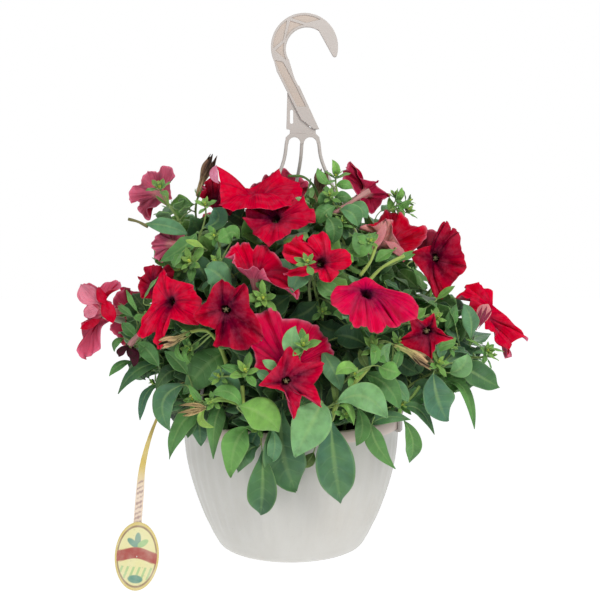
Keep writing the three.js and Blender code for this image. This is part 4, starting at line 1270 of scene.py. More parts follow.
class Flower:
    """A trumpet with five lobes: its grid of points, and where its tube starts and points."""

    def __init__(self, name, at, turn, lift, radius, palette, **more):
        self.name = name
        self.axis = facing(turn, lift)
        self.right = facing(turn + 90)
        self.up = np.cross(self.axis, self.right)
        self.at = np.array(at, float)
        self.base = self.at - self.axis * TUBE_LENGTH
        self.radius = radius
        self.palette = PETALS[palette]
        self.rng = np.random.default_rng(list(FLOWERS).index(name) + 3)
        rim = np.array(more["rim"], float) if "rim" in more else self.plain_rim(more["cup"])
        self.lights = np.array(more.get("lights", [0] * (len(rim) // 2)), float)
        self.roundness = more.get("roundness", 2.0)
        self.ruffle = more.get("ruffle", 1.0)
        self.star = more.get("star", 0.35)
        self.rise = more.get("rise", 0.22)
        self.folds = more.get("folds", 1.0)
        self.dark = more.get("dark", 0.6)
        self.hole = more.get("hole", 1.0)
        self.pale_edge = more.get("pale_edge", 0.06)
        self.anthers_show = "anthers" in more
        self.shape(self.clockwise(rim))

    def plain_rim(self, cup):
        """Tips and notches of an even limb, a little different each time."""
        start = self.rng.uniform(0, 72)
        rim = []
        for i in range(10):
            angle = math.radians(start - 36 * i + self.rng.uniform(-5, 5))
            spread, cupped = (TIP_SPREAD, TIP_CUPPED) if i % 2 == 0 else (NOTCH_SPREAD, NOTCH_CUPPED)
            reach = self.radius * self.rng.uniform(*spread)
            ahead = self.radius * cup * self.rng.uniform(*cupped)
            rim.append(around(self.right, self.up, angle) * reach + self.axis * ahead)
        return np.array(rim)

    def angle_of(self, points):
        """The angles of points about the flower's axis."""
        return np.arctan2(points @ self.up, points @ self.right)

    def clockwise(self, rim):
        """The rim in clockwise order as the flower's front shows it."""
        angles = self.angle_of(rim)
        steps = (np.diff(np.append(angles, angles[0])) + math.pi) % math.tau - math.pi
        if steps.sum() > 0 or (abs(steps.sum()) < 1 and self.axis[1] > 0):
            self.lights = np.roll(self.lights[::-1], 1)
            return np.roll(rim[::-1], 1, axis=0)
        return rim

    def edge(self, rim):
        """The limb's edge for every column, with where each lies between its tip and a notch.

        Seam is 0 at the tip and 1 at the notch, side is the same but below zero on one side of the tip,
        lobe the number of the lobe, and place the column's place along the rim.
        """
        legs = len(rim)
        place = np.arange(AROUND) * legs / AROUND
        leg = place.astype(int)
        odd = leg % 2 == 1
        share = place - leg
        toward_tip = np.where(odd, share, 1 - share)[:, None]
        tip = rim[np.where(odd, leg + 1, leg) % legs]
        notch = rim[np.where(odd, leg, leg + 1) % legs]
        step = tip - notch
        middle = (tip + notch) / 2
        radial = unit(middle - (middle @ self.axis)[:, None] * self.axis)
        out = (step * radial).sum(axis=1)[:, None] * radial
        fullness = 1 / max(self.roundness - 0.6, 1)
        rise = (1 - (1 - toward_tip) ** self.roundness).clip(1e-4) ** fullness
        edge = notch + (step - out) * toward_tip + out * rise
        lobes = legs // 2
        lobe = (np.where(odd, leg + 1, leg) // 2) % lobes
        seam = 1 - toward_tip[:, 0]
        side = np.where(odd, -seam, seam)
        beside = (lobe + np.where(odd, -1, 1)) % lobes
        # Painted light and shade for each lobe, blended across the seams.
        self.light = self.lights[lobe] * (1 - 0.5 * seam) + self.lights[beside] * 0.5 * seam
        return edge, seam, side, lobe, place

    def shape(self, rim):
        """The whole trumpet: the tube's rows, then the limb's from the mouth to the edge."""
        edge, seam, side, lobe, place = self.edge(rim)
        turn = math.tau / len(rim)
        turns = np.arange(len(rim)) * turn
        offset = np.angle(np.exp(1j * (self.angle_of(rim) + turns)).sum())
        angles = offset - turn * place
        radial = np.cos(angles)[:, None] * self.right + np.sin(angles)[:, None] * self.up
        waves = self.rng.uniform(0, math.tau, 6)
        oval = 1 + 0.14 * np.sin(2 * angles + waves[5])[:, None] + 0.08 * np.cos(5 * angles)[:, None]
        mouth = -2 * self.axis + MOUTH_RADIUS * oval * radial
        reach = np.linalg.norm(edge - mouth, axis=1)[:, None]
        away = unit(edge - mouth)
        fringe = 0.02 * np.sin(11 * angles + waves[0]) + 0.014 * np.sin(23 * angles + waves[1])
        edge = edge + away * reach * fringe[:, None]
        first = mouth + (self.axis * 0.8 + radial * 0.5) * reach * self.rise
        last = edge - unit(away - self.axis * LIMB_CURL) * reach * 0.36
        shares = np.linspace(0, 1, LIMB_ROWS + 1)[:, None]
        limb = bezier(mouth, first, last, edge, shares)
        push = self.pushes(shares, angles, seam, side, waves)
        # The relief also paints the tones: shade in the hollows of the folds and light on their ridges.
        self.relief = push / 4
        push = push * (reach[:, 0] / 30)
        limb = limb + grid_normals(limb, wrap=True) * push[..., None]

        rows = np.linspace(0, 1, TUBE_ROWS, endpoint=False)[:, None]
        on = (rows - 1) * (TUBE_LENGTH - 2) - 2
        flare = 0.55 * smooth(rows, 0, 0.55) + 0.45 * rows**2
        widen = TUBE_FOOT_RADIUS + (MOUTH_RADIUS - TUBE_FOOT_RADIUS) * flare
        widen = widen * (1 + (oval[:, 0] - 1) * rows**2)
        tube = on[..., None] * self.axis + widen[..., None] * radial
        self.grid = self.at + np.concatenate([tube, limb])
        self.limb = self.grid[TUBE_ROWS:]
        self.seam, self.side, self.lobe, self.shares = seam, side, lobe, shares * np.ones(AROUND)

    def pushes(self, shares, angles, seam, side, waves):
        """How far the limb stands out of its even curve: creases, bulging lobes, ruffles and dents."""
        ripple = np.sin(10 * angles + waves[2]) + 0.7 * np.sin(15 * angles + waves[3])
        ripple += 0.45 * np.sin(25 * angles + waves[4])
        crease = -2.0 * np.exp(-((side / 0.14) ** 2)) - 4.2 * np.exp(-(((1 - seam) / 0.22) ** 2))
        bulge = 3.2 * np.sin(math.pi * seam) ** 1.2
        dents = sum(
            np.sin(count * angles + rate * shares + self.rng.uniform(0, math.tau))
            for count, rate in ((3, 5.0), (4, -7.0), (7, 9.0))
        )
        push = shares**1.2 * (crease + bulge) + 1.7 * self.ruffle * shares**2.4 * ripple
        return (push + 1.1 * self.ruffle * shares**1.5 * dents) * self.folds

    def tones(self):
        """The tones of the trumpet's inside and outside, streaked along its length."""
        patch = self.rng.uniform(-1, 1, len(self.lights))[self.lobe]
        thrice = np.tile(self.rng.normal(size=AROUND), 3)
        streak = np.convolve(thrice, np.ones(3) / 3, "same")[AROUND:-AROUND]
        streak = np.clip(0.5 + streak, 0, 1.4)
        rows = np.linspace(0, 1, TUBE_ROWS, endpoint=False)[:, None] * np.ones(AROUND)
        return self.inner_tones(rows, patch, streak).clip(0, 1), self.outer_tones(rows, streak).clip(0, 1)

    def inner_tones(self, rows, patch, streak):
        """From the tube's foot through the dark throat and its star to the bright field and its edge, with
        light and shade painted by lobe and by fold and a painted highlight on the edge.
        """
        bright, shade, throat, _ = self.palette
        shares, seam, side = self.shares, self.seam, self.side
        level = smooth(shares, 0.08, self.dark * (1 + 0.3 * (streak - 0.5)))
        # Painted light and shade: by lobe, and by the folds' relief.
        level = level + 0.12 * patch + self.light + 0.2 * self.relief * shares
        field = blend(shade, bright, np.clip(level, -0.7, 1.2)).clip(0, 1)
        ribs = np.exp(-((side / (0.18 + 0.22 * self.star)) ** 2)) * self.star
        field = blend(field, throat, 0.8 * ribs * (1 - smooth(shares, 0.35, 0.95)))
        seams = np.exp(-(((1 - seam) / 0.1) ** 2)) * (1 - smooth(shares, 0.5, 1.0))
        field = blend(field, shade, 0.6 * seams)
        purple = np.clip(1 - shares / (0.42 + 0.3 * streak), 0, 1)
        field = blend(field, throat * 0.6 + shade * 0.4, 0.6 * purple * min(1, self.hole + 0.25))
        mouth = np.clip(1.1 - shares / (0.16 + 0.12 * streak), 0, 1) ** 1.2
        field = blend(field, throat, mouth * self.hole)
        # A painted highlight along the limb's edge.
        field = blend(field, RIM_HIGHLIGHT_TONE, self.pale_edge * smooth(shares, 0.93, 1.0))
        return np.concatenate([blend(THROAT_TONE * 0.6, throat, smooth(rows, 0.35, 0.8)), field])

    def outer_tones(self, rows, streak):
        """A pale tube with darker stripes, and the limb's duller back, with painted shading by its folds and
        a painted highlight along its edge.
        """
        under, shares = self.palette[3], self.shares
        stripe = np.exp(-((self.side / 0.22) ** 2)) + 0.5 * streak
        tube = blend(TUBE_FOOT_TONE, TUBE_TONE, smooth(rows, 0.02, 0.4))
        tube = blend(tube, under * 0.6, 0.5 * np.clip(stripe, 0, 1) * smooth(rows, 0.2, 1.0))
        back = blend(TUBE_TONE, under, smooth(shares, 0.0, 0.35))
        # Painted shade and light on the back, by the folds' relief.
        back = back * (1 - 0.3 * stripe * (1 - smooth(shares, 0.3, 1.0)) + 0.3 * self.relief)[..., None]
        return np.concatenate([tube, blend(back, RIM_HIGHLIGHT_TONE, 0.7 * smooth(shares, 0.9, 1.0))])

    def make(self):
        """The trumpet with its stamens, the lobes that fold over and the pale sheets of painted highlight,
        as one piece.
        """
        skins = Skins()
        thickness = np.full(self.grid.shape[:2], PETAL_THICKNESS)
        thickness[-3:] = np.array((0.45, 0.4, 0.3))[:, None]
        skins.add_skin(self.grid, thickness, self.tones(), (FRONT, BACK), wrap=True)
        self.add_stamens(skins)
        fold_rng = random.Random(8)
        for base, middle, tip, width, peak, tone in FLAPS.get(self.name, ()):
            flap = leaf_through(*np.array((base, middle, tip), float), width, peak, fold_rng)
            look, _ = leaf_tones(flap, FLAP_TONES[tone], fold_rng)
            mark = FRONT if tone == "red" else BACK
            skins.add_skin(flap, PETAL_THICKNESS, (look, look), (mark, mark))
        skins.make(self.name + "_petals", FLOWER_MATERIALS, "petal", (self.name,))

    def add_stamens(self, skins):
        """The style with its stigma and five stamens, in the mouth or deep in the tube."""
        mouth = self.at - self.axis * (SHOWN_ANTHERS if self.anthers_show else SUNK_ANTHERS)
        start = self.base + self.axis * 9
        skins.add_tube([start, (start + mouth) / 2, mouth], 0.5, STEM_TONE, DUST, sides=6)
        stigma = (1.7, 0.8) if self.anthers_show else (1.2, 0.9)
        skins.add_blob(mouth + self.axis * 0.4, stigma, self.axis, THROAT_TONE * 0.7, DUST)
        for i in range(5):
            side = around(self.right, self.up, math.tau * (i + 0.3) / 5)
            anther = mouth + side * self.rng.uniform(1.4, 2.8) + self.axis * self.rng.uniform(-1.8, 0.6)
            foot = start + side * 1.2
            skins.add_tube([foot, (foot + anther) / 2 + side * 0.4, anther], 0.35, TUBE_TONE, DUST, sides=5)
            skins.add_blob(anther, (1.0, 1.3), self.axis + side * 0.6, ANTHER_TONE, DUST)


# Lobes that fold over or curl back, and pale sheets that paint highlights on a shaded trumpet: base, middle,
# tip, width, where it is widest and tone.
FLAPS = {
    "flower_left_side": [
        ((-198, -62, 271), (-202, -64, 283), (-209, -62, 297), 17, 0.5, "red"),
        ((-204, -64, 292), (-210, -66, 301), (-213, -64, 312), 12, 0.5, "red"),
        ((-212, -60, 276), (-222, -62, 270), (-235, -60, 265), 10, 0.5, "red"),
        ((-214, -57, 292), (-225, -59, 302), (-234, -57, 314), 23, 0.55, "rosy"),
        ((-214, -60, 286), (-222, -62, 284), (-230, -60, 279), 17, 0.5, "rosy"),
    ],
    "flower_crown_top": [
        ((-78, -68, 426), (-84, -68, 436), (-81, -64, 446), 10, 0.5, "lilac"),
    ],
    "flower_right_side": [
        ((206, -68, 264), (211, -70, 278), (219, -68, 293), 17, 0.72, "blush"),
        ((208, -71, 266), (215, -73, 277), (223, -71, 288), 3, 0.6, "maroon"),
        ((206, -71, 266), (212, -73, 278), (217, -71, 291), 3, 0.6, "maroon"),
        ((205, -71, 266), (208, -73, 279), (212, -71, 291), 3, 0.6, "maroon"),
    ],
    # Pale sheets that paint highlights on the trumpet's shaded underside.
    "flower_right_pale": [
        ((84, -48, 345), (97, -50, 362), (106, -48, 384), 10, 0.6, "blush"),
        ((103, -50, 363), (116, -52, 355), (129, -50, 343), 12, 0.6, "blush"),
    ],
}
FLAP_TONES = {
    "red": colour(196, 0, 38),
    "rosy": colour(216, 132, 150),
    "lilac": colour(204, 136, 160),
    "blush": colour(216, 146, 146),
    "maroon": colour(140, 62, 84),
}

# ---------------------------------------------------------------- stems

# Where each shoot leaves the compost, as an angle about the pot's axis and a distance from it, and what
# its stems lead to: a flower, fresh or spent, or a place that gets a leafy tip.
SHOOTS = {
    "shoot_left_high": ((200, 55), ["flower_left_pink", "flower_left_small"]),
    "shoot_left_side": ((192, 98), ["flower_left_side", (-176, -62, 246)]),
    "shoot_left_front": ((212, 80), ["flower_left_front", "flower_left_rear"]),
    "shoot_front_left": ((236, 88), ["flower_front_left", "spent_flower_left"]),
    "shoot_crown_left": ((185, 30), ["flower_crown_left", "spent_flower_crown_left"]),
    "shoot_crown": ((280, 22), ["flower_crown_front", "flower_crown_top"]),
    "shoot_centre": ((255, 62), ["flower_centre", (-78, -128, 346)]),
    "shoot_centre_right": ((292, 75), ["flower_front_right", "flower_centre_ruffled"]),
    "shoot_right_star": ((306, 98), ["flower_right_star", "spent_flower_right"]),
    "shoot_front_star": ((262, 100), ["flower_front_star", "flower_front_low"]),
    "shoot_right_dark": ((328, 60), ["flower_right_dark", (62, -62, 388)]),
    "shoot_right_side": ((345, 92), ["flower_right_side", (222, -72, 236)]),
    "shoot_right_pale": ((5, 50), ["flower_right_pale", (136, 12, 404)]),
    "shoot_crown_right": ((35, 22), ["flower_crown_right", "spent_flower_crown_right"]),
    "shoot_back_left": ((125, 78), ["flower_back_left", "flower_back_low_left", (-118, 118, 196)]),
    "shoot_back_middle": ((82, 82), ["flower_back_middle", (-6, 158, 278), (0, 168, 196)]),
    "shoot_back_right": ((42, 85), ["flower_back_right", "flower_back_low_right", (158, 98, 204)]),
    "shoot_back_top": ((95, 35), ["flower_back_top", (48, 118, 378)]),
    "shoot_left_back": ((160, 92), ["flower_left_back", (-148, 96, 332)]),
    "spray_left": ((180, 108), [(-158, -22, 196), (-168, 30, 214)]),
    "spray_front_left": ((228, 108), [(-104, -122, 196), (-74, -150, 226)]),
    "spray_front": ((252, 110), [(-34, -160, 172)]),
    "spray_front_right": ((282, 108), [(34, -162, 192), (66, -172, 232)]),
    "spray_right_front": ((312, 110), [(118, -140, 194), (158, -120, 226)]),
    "spray_right": ((352, 108), [(182, -62, 224), (172, 20, 210)]),
    "spray_back": ((70, 108), [(52, 164, 190), (-40, 162, 196)]),
}
# The few stems that bulge aside or upwards to pass their neighbours: (aside, upwards) by shoot and stem.
BULGES = {("shoot_right_side", 0): (10, 0), ("spray_front", 0): (0, 18), ("spray_right", 0): (-10, 0)}
STEM_STEPS = 40


def evenly(path, count):
    """A path's points spaced evenly along it."""
    lengths = np.concatenate([[0], np.cumsum(np.linalg.norm(np.diff(path, axis=0), axis=1))])
    shares = np.linspace(0, lengths[-1], count)
    return np.stack([np.interp(shares, lengths, path[:, k]) for k in range(3)], axis=1)


def stem_path(start, heading, end, arrival, bulge):
    """A stem that leaves its start in one direction and comes to its end in another."""
    span = np.linalg.norm(end - start)
    sideways = np.cross(outward_at(end), UP) * bulge[0]
    first = start + heading * span * 0.4 + sideways + UP * bulge[1]
    last = end - arrival * span * 0.3 + sideways * 0.5
    return evenly(bezier(start, first, last, end, np.linspace(0, 1, 90)), STEM_STEPS)


def stem_end(end, heads):
    """Where a stem ends and the direction it arrives in."""
    if isinstance(end, str):
        base, axis = heads[end]
        return base - axis * (CLEARANCE + 0.1), axis
    point = np.array(end, float)
    return point, unit(outward_at(point) + 0.3 * UP)


def grow_stems(name, heads):
    """The paths of a shoot's stems: the first out of the compost, the others off the first."""
    root, ends = SHOOTS[name]
    paths = []
    for i, end in enumerate(ends):
        point, arrival = stem_end(end, heads)
        if paths:
            trunk = paths[0]
            fork = FORK_AT * (STEM_STEPS - 1)
            below = int(fork)
            start = trunk[below] + (trunk[below + 1] - trunk[below]) * (fork - below)
            tangent = unit(trunk[below + 1] - trunk[below])
            heading = unit(tangent + unit(point - start))
        else:
            start = polar(*root, SOIL_TOP + CLEARANCE)
            heading = unit(UP + 0.15 * outward_at(start))
        paths.append(stem_path(start, heading, point, arrival, BULGES.get((name, i), (0, 0))))
    return paths


# ---------------------------------------------------------------- leaves

TO_VIEWER = np.array((0.0, -1.0, 0.15))
LEAF_THICKNESS = 0.4
DRY_THICKNESS = 0.5

# From their foot to their end: the first stem of a shoot, the others, twigs and the stalks of leaves.
TRUNK_RADII = (2.1, 1.3)
BRANCH_RADII = (1.6, 1.2)
TWIG_RADII = (1.2, 0.9)
SIDE_TWIG_RADII = (1.1, 0.8)
PETIOLE_RADII = (0.95, 0.57)


def leaf_surface(spine, side, lean, width, peak, rng, columns):
    """A leaf's middle surface about its spine: folded, quilted between veins and wavy-edged."""
    v = np.linspace(0, 1, len(spine))
    swell = 0.9 + 3.5 * max(0, peak - 0.45) + rng.uniform(-0.1, 0.2)
    before = np.sin(math.pi / 2 * np.clip(v / peak, 0, 1)) ** swell
    after = 1 - np.clip((v - peak) / (1 - peak), 0, 1) ** rng.uniform(1.7, 2.4)
    outline = np.maximum(np.where(v < peak, before, after), 0.03)[:, None]
    v = v[:, None]
    u = np.linspace(-1, 1, columns)
    u = (np.sign(u) * np.abs(u) ** 0.85)[None, :]
    phase = rng.uniform(0, math.tau)
    fold = rng.uniform(0.05, 0.34)
    wavy = rng.uniform(0.03, 0.085) * width
    curl = rng.uniform(-0.16, 0.1) * width
    across = u * outline * width / 2
    lifted = fold * np.abs(across) * (1 - 0.5 * v)
    lifted = lifted + wavy * u**2 * np.sin(math.tau * 2.2 * v + phase + 0.9 * np.sign(u))
    lifted = lifted + curl * np.abs(u) ** 2.6 * outline
    ribs = np.abs(np.sin(math.pi * (6.5 * v - 0.8 * np.abs(u))))
    lifted = lifted + 0.03 * width * (ribs - 0.5) * (1 - u**2) * outline
    return spine[:, None] + side[:, None] * across[..., None] + lean[:, None] * lifted[..., None]


def leaf_grid(base, tip, width, bend, rng, size, normal=None, twist=0.0):
    """A leaf's middle surface from its base to its tip, facing the way of normal."""
    rows, columns = size
    chord = tip - base
    length = np.linalg.norm(chord)
    along = chord / length
    if normal is None:
        normal = 0.7 * outward_at(base) + 0.8 * UP
    normal = unit(normal - along * np.dot(normal, along) + 1e-4 * UP)
    v = np.linspace(0, 1, rows)
    angles = np.radians(bend) * (0.5 - v)
    run = np.concatenate([[0], np.cumsum((np.cos(angles[1:]) + np.cos(angles[:-1])) / 2)]) / (rows - 1)
    rise = np.concatenate([[0], np.cumsum((np.sin(angles[1:]) + np.sin(angles[:-1])) / 2)]) / (rows - 1)
    rise -= rise[-1] * v
    run /= run[-1]
    spine = base + length * (run[:, None] * along + rise[:, None] * normal)
    lean = np.cos(angles)[:, None] * normal - np.sin(angles)[:, None] * along
    side = np.cross(along, normal)
    swing = np.radians(twist) * (v - 0.35)
    turned_side = side * np.cos(swing)[:, None] + lean * np.sin(swing)[:, None]
    turned_lean = lean * np.cos(swing)[:, None] - side * np.sin(swing)[:, None]
    return leaf_surface(spine, turned_side, turned_lean, width, rng.uniform(0.48, 0.6), rng, columns)


def leaf_through(base, middle, tip, width, peak, rng, rows=24, columns=13):
    """A leaf that runs through three points, turned to the viewer."""
    v = np.linspace(0, 1, rows)[:, None]
    hump = 2 * middle - (base + tip) / 2
    spine = (1 - v) ** 2 * base + 2 * (1 - v) * v * hump + v**2 * tip
    along = unit(np.gradient(spine, axis=0))
    face = TO_VIEWER + 0.45 * outward_at(middle) + 0.3 * UP
    lean = unit(face - along * (along @ face)[:, None])
    side = np.cross(along, lean)
    return leaf_surface(spine, side, lean, width, peak, rng, columns)


def leaf_tones(grid, tone, rng):
    """Leaf tones: a little lighter to the tip and margin, a little uneven, and one side painted lighter and
    the other darker, as shading of the fold along the midrib.
    """
    rows, columns = grid.shape[:2]
    v = np.linspace(0, 1, rows)[:, None]
    u = np.abs(np.linspace(-1, 1, columns))[None, :]
    light = 1 + rng.uniform(-0.12, 0.12) + rng.uniform(-0.25, 0.35) * (v - 0.4) + 0.12 * (u - 0.5)
    # Painted shade: one half of the leaf lighter and the other darker, as if folded along the midrib.
    light = light + rng.uniform(-0.16, 0.16) * np.sign(np.linspace(-1, 1, columns))[None, :]
    top = np.clip(tone * light[..., None], 0, 1)
    under = blend(top, UNDERLEAF_TONE, 0.55 * np.ones_like(light))
    return top, under


class Shoot:
    """One shoot: its stems and all that grows on them."""

    def __init__(self, name, heads):
        self.name = name
        self.paths = grow_stems(name, heads)
        self.skins = Skins()

    def nearest(self, point):
        """The place on its stems, beyond their first steps, that is nearest to a point."""
        stems = np.concatenate([path[3:] for path in self.paths])
        return stems[np.argmin(np.linalg.norm(stems - point, axis=1))]

    def add_stems(self):
        """Tapered stems, thicker where leaves grow out, older and darker near the compost."""
        for i, path in enumerate(self.paths):
            shares = np.linspace(0, 1, len(path))
            thick, thin = TRUNK_RADII if i == 0 else BRANCH_RADII
            radii = thick + (thin - thick) * shares
            radii = radii * (1 + 0.16 * np.exp(-(((shares * 7) % 1 - 0.5) / 0.12) ** 2))
            tones = blend(OLD_STEM_TONE, STEM_TONE, smooth(shares, 0.05, 0.7))
            self.skins.add_tube(path, radii, tones, STALK, sides=9)

    def add_leaf(self, grid, tone, rng, thickness=LEAF_THICKNESS, marks=(TOP, UNDER)):
        """A leaf's skin about its middle surface."""
        self.skins.add_skin(grid, thickness, leaf_tones(grid, tone, rng), marks)

    def add_stalk(self, corners, radii, tone=STEM_TONE, steps=14, sides=7):
        """A thin stalk along a curve, which it gives back."""
        path = bezier(*corners, np.linspace(0, 1, steps))
        self.skins.add_tube(path, np.linspace(*radii, steps), tone, STALK, sides)
        return path

    def add_petiole(self, grid, foot, tone):
        """A stalk from a stem to a leaf's base, running into its midrib."""
        middle = grid.shape[1] // 2
        head, inner = grid[0, middle], grid[1, middle]
        lead = unit(head - inner)
        span = np.linalg.norm(head - foot)
        leave = foot + (head - foot) * 0.3 + UP * span * 0.15
        self.add_stalk((foot, leave, head + lead * span * 0.35, inner), PETIOLE_RADII, tone, 9, 6)

    def make(self):
        """All that has grown on the shoot, as one piece."""
        self.skins.make(self.name + "_leafy", FOLIAGE_MATERIALS, "foliage", (self.name,))


# ---------------------------------------------------------------- what stands in the way

# The foliage's outline from the viewer's side: (across, up) at the scale of the pot's axis.
FOLIAGE_OUTLINE = [
    (-152, 422), (-139, 425), (-129, 420), (-117, 422), (-106, 400), (-77, 392),
    (-34, 400), (10, 429), (24, 434), (41, 445), (54, 438), (64, 420),
    (87, 422), (108, 411), (124, 422), (140, 411), (131, 394), (112, 392),
    (150, 374), (145, 357), (150, 334), (173, 302), (203, 295), (212, 278),
    (215, 264), (231, 255), (249, 237), (242, 230), (228, 225), (224, 213),
    (240, 200), (239, 190), (219, 195), (208, 183), (205, 162), (194, 179),
    (182, 158), (161, 160), (147, 160), (131, 160), (103, 146), (63, 142),
    (10, 128), (-36, 128), (-88, 128), (-123, 132), (-138, 121), (-154, 139),
    (-158, 169), (-151, 206), (-164, 200), (-173, 169), (-179, 158), (-172, 191),
    (-189, 193), (-202, 181), (-208, 183), (-196, 206), (-187, 225), (-194, 239),
    (-203, 255), (-191, 269), (-197, 283), (-187, 295), (-175, 311), (-164, 329),
    (-158, 360), (-168, 380), (-164, 394),
]
OUTER_BOX = (
    np.array(CAD_BOX[0]) / MM + SEAT - 6,
    np.array(CAD_BOX[1]) / MM + SEAT + 6,
)


def inside_outline(points, outline):
    """Which (across, up) points lie inside a closed outline."""
    x, y = points[:, 0, None], points[:, 1, None]
    start = np.array(outline, float)
    end = np.roll(start, -1, axis=0)
    crosses = (start[None, :, 1] > y) != (end[None, :, 1] > y)
    rise = np.where(end[:, 1] == start[:, 1], 1e-9, end[:, 1] - start[:, 1])
    meets = start[None, :, 0] + (y - start[None, :, 1]) * (end[:, 0] - start[:, 0])[None] / rise[None]
    return (crosses & (x < meets)).sum(axis=1) % 2 == 1


class Room:
    """What already grows where: it says whether a new leaf has room and keeps those that do."""

    # How wide the cells are in which points and sights are kept, and how far leaves stay off an arm.
    CELL = 7.0
    PIXEL = 1.5
    ARM_GAP = 5.0

    def __init__(self, flowers, arms):
        self.arms = arms
        self.taken = {}
        self.ahead = {}
        self.centres = np.array([flower.at for flower in flowers])
        self.axes = np.array([flower.axis for flower in flowers])
        self.radii = np.array([flower.radius for flower in flowers])
        for flower in flowers:
            if "back" not in flower.name:
                self.screen(flower.limb)

    def screen(self, grid):
        """Notes how far away a surface is wherever the viewer sees it."""
        seen = as_seen(np.concatenate([grid[:-1], (grid[:-1] + grid[1:]) / 2]).reshape(-1, 3))
        for x, y, depth in seen:
            for dx, dy in product((-1, 0, 1), repeat=2):
                cell = (round(x / self.PIXEL) + dx, round(y / self.PIXEL) + dy)
                self.ahead[cell] = min(self.ahead.get(cell, 9e9), depth)

    def hides(self, points, allowed=0):
        """Whether more points than are allowed would stand before what the viewer has to see."""
        hidden = 0
        for x, y, depth in as_seen(points):
            limb = self.ahead.get((round(x / self.PIXEL), round(y / self.PIXEL)), 0)
            hidden += depth < limb + 3
        return hidden > allowed

    def cuts_flower(self, points):
        """Whether a point lies in a limb, just before it, or in a tube."""
        offset = points[:, None] - self.centres[None]
        along = (offset * self.axes[None]).sum(axis=2)
        aside = np.linalg.norm(offset - along[..., None] * self.axes[None], axis=2)
        limb_foot, tube_foot = -7, -TUBE_LENGTH - 2
        before = (along > limb_foot) & (along < 30) & (aside < self.radii[None] * (0.75 + 0.008 * along))
        tube = (along <= limb_foot) & (along > tube_foot) & (aside < 6 + 0.2 * (along - tube_foot))
        return bool((before | tube).any())

    def meets_pot(self, points):
        """Whether a point lies about the rim, or lower down inside the pot's width."""
        height, beyond = points[:, 2], np.hypot(points[:, 0], points[:, 1]) - RIM_RADIUS
        rim = (height < POT_HEIGHT + 5) & (beyond > -11.5) & (beyond < 6.5)
        bowl = (height < SOIL_TOP + 2) & (beyond <= 6.5)
        return bool((rim | bowl).any())

    def meets_arm(self, points):
        """Whether a point is close to one of the hanger's arms."""
        gaps = np.linalg.norm(points[:, None] - self.arms[None], axis=2)
        return bool(gaps.min() < self.ARM_GAP)

    def outside(self, points):
        """Whether a point lies outside the plant, in size or as the viewer sees it."""
        low, high = OUTER_BOX
        beyond = (points < low).any() or (points > high).any()
        return bool(beyond) or not inside_outline(as_seen(points)[:, :2], FOLIAGE_OUTLINE).all()

    def cell_of(self, point):
        """The numbers of the cell that a point lies in."""
        return tuple(np.floor(point / self.CELL).astype(int).tolist())

    def close(self, point, gap):
        """Whether something grows nearer to a point than a gap."""
        x, y, z = self.cell_of(point)
        for dx, dy, dz in product((-1, 0, 1), repeat=3):
            for other in self.taken.get((x + dx, y + dy, z + dz), ()):
                if math.dist(other, point) < gap:
                    return True
        return False

    def crowded(self, points, gap, allowed):
        """Whether more points than are allowed are close to what grows there."""
        near = 0
        for point in points:
            near += self.close(point, gap)
            if near > allowed:
                return True
        return False

    def keep(self, points):
        """Notes points that have been grown."""
        for point in points:
            self.taken.setdefault(self.cell_of(point), []).append(point)

    def has(self, points, gap, allowed, surface=None):
        """Whether a leaf's sampled points have room, and its surface hides nothing."""
        if self.outside(points) or self.meets_pot(points) or self.cuts_flower(points):
            return False
        if self.meets_arm(points) or self.crowded(points, gap, allowed):
            return False
        return not self.hides(points if surface is None else surface, 2)


def sample(grid):
    """A leaf's points to test: along its middle and edges."""
    rows = np.linspace(1, grid.shape[0] - 1, 6).astype(int)
    columns = np.linspace(0, grid.shape[1] - 1, 3).astype(int)
    return grid[np.ix_(rows, columns)].reshape(-1, 3)


# ---------------------------------------------------------------- what grows

# Leaves that show: base, tip, width, bend and tone.
SHOWN_LEAVES = [
    ((-154, -88, 263), (-169, -90, 234), 16, 25, "mid"),
    ((100, -150, 242), (121, -154, 262), 13, 30, "mid"),
    ((213, -90, 247), (233, -96, 244), 8, 35, "bright"),
    ((213, -90, 247), (210, -94, 228), 8, 25, "fresh"),
    ((210, -90, 248), (191, -84, 258), 9, 25, "bright"),
    ((-117, -96, 353), (-125, -104, 337), 15, 30, "fresh"),
    ((-102, -100, 343), (-108, -106, 335), 9, 25, "fresh"),
    ((-93, -100, 358), (-113, -98, 366), 9, 25, "young"),
    ((-160, -92, 300), (-143, -96, 326), 11, 20, "fresh"),
    ((-142, -96, 299), (-140, -100, 327), 10, 20, "fresh"),
    ((-173, -70, 278), (-192, -64, 291), 9, 20, "mid"),
    ((-169, -70, 285), (-182, -66, 309), 7, 20, "fresh"),
    ((-170, -74, 256), (-187, -70, 273), 13, 25, "mid"),
    ((-156, -84, 275), (-172, -80, 281), 12, 25, "fresh"),
    ((33, -150, 318), (50, -150, 313), 18, 30, "mid"),
    ((-21, -140, 314), (-36, -138, 331), 16, 25, "mid"),
    ((54, -70, 378), (32, -76, 369), 14, 30, "grey"),
    ((115, -60, 353), (94, -66, 340), 14, 25, "fresh"),
    ((118, -70, 340), (139, -64, 351), 10, 25, "fresh"),
    ((131, -80, 334), (150, -90, 320), 12, 30, "mid"),
    ((115, -90, 300), (132, -96, 312), 15, 25, "mid"),
    ((120, -80, 310), (102, -80, 321), 14, 25, "dark"),
    ((159, -90, 300), (179, -92, 316), 9, 25, "bright"),
    ((160, -96, 292), (150, -92, 300), 12, 25, "mid"),
    ((162, -100, 284), (149, -100, 269), 12, 25, "fresh"),
    ((181, -90, 269), (172, -88, 293), 10, 20, "fresh"),
    ((115, -20, 397), (121, -22, 420), 6, 12, "fresh"),
    ((117, -20, 397), (136, -20, 408), 5, 12, "fresh"),
    ((115, -22, 395), (128, -26, 393), 10, 20, "bright"),
]

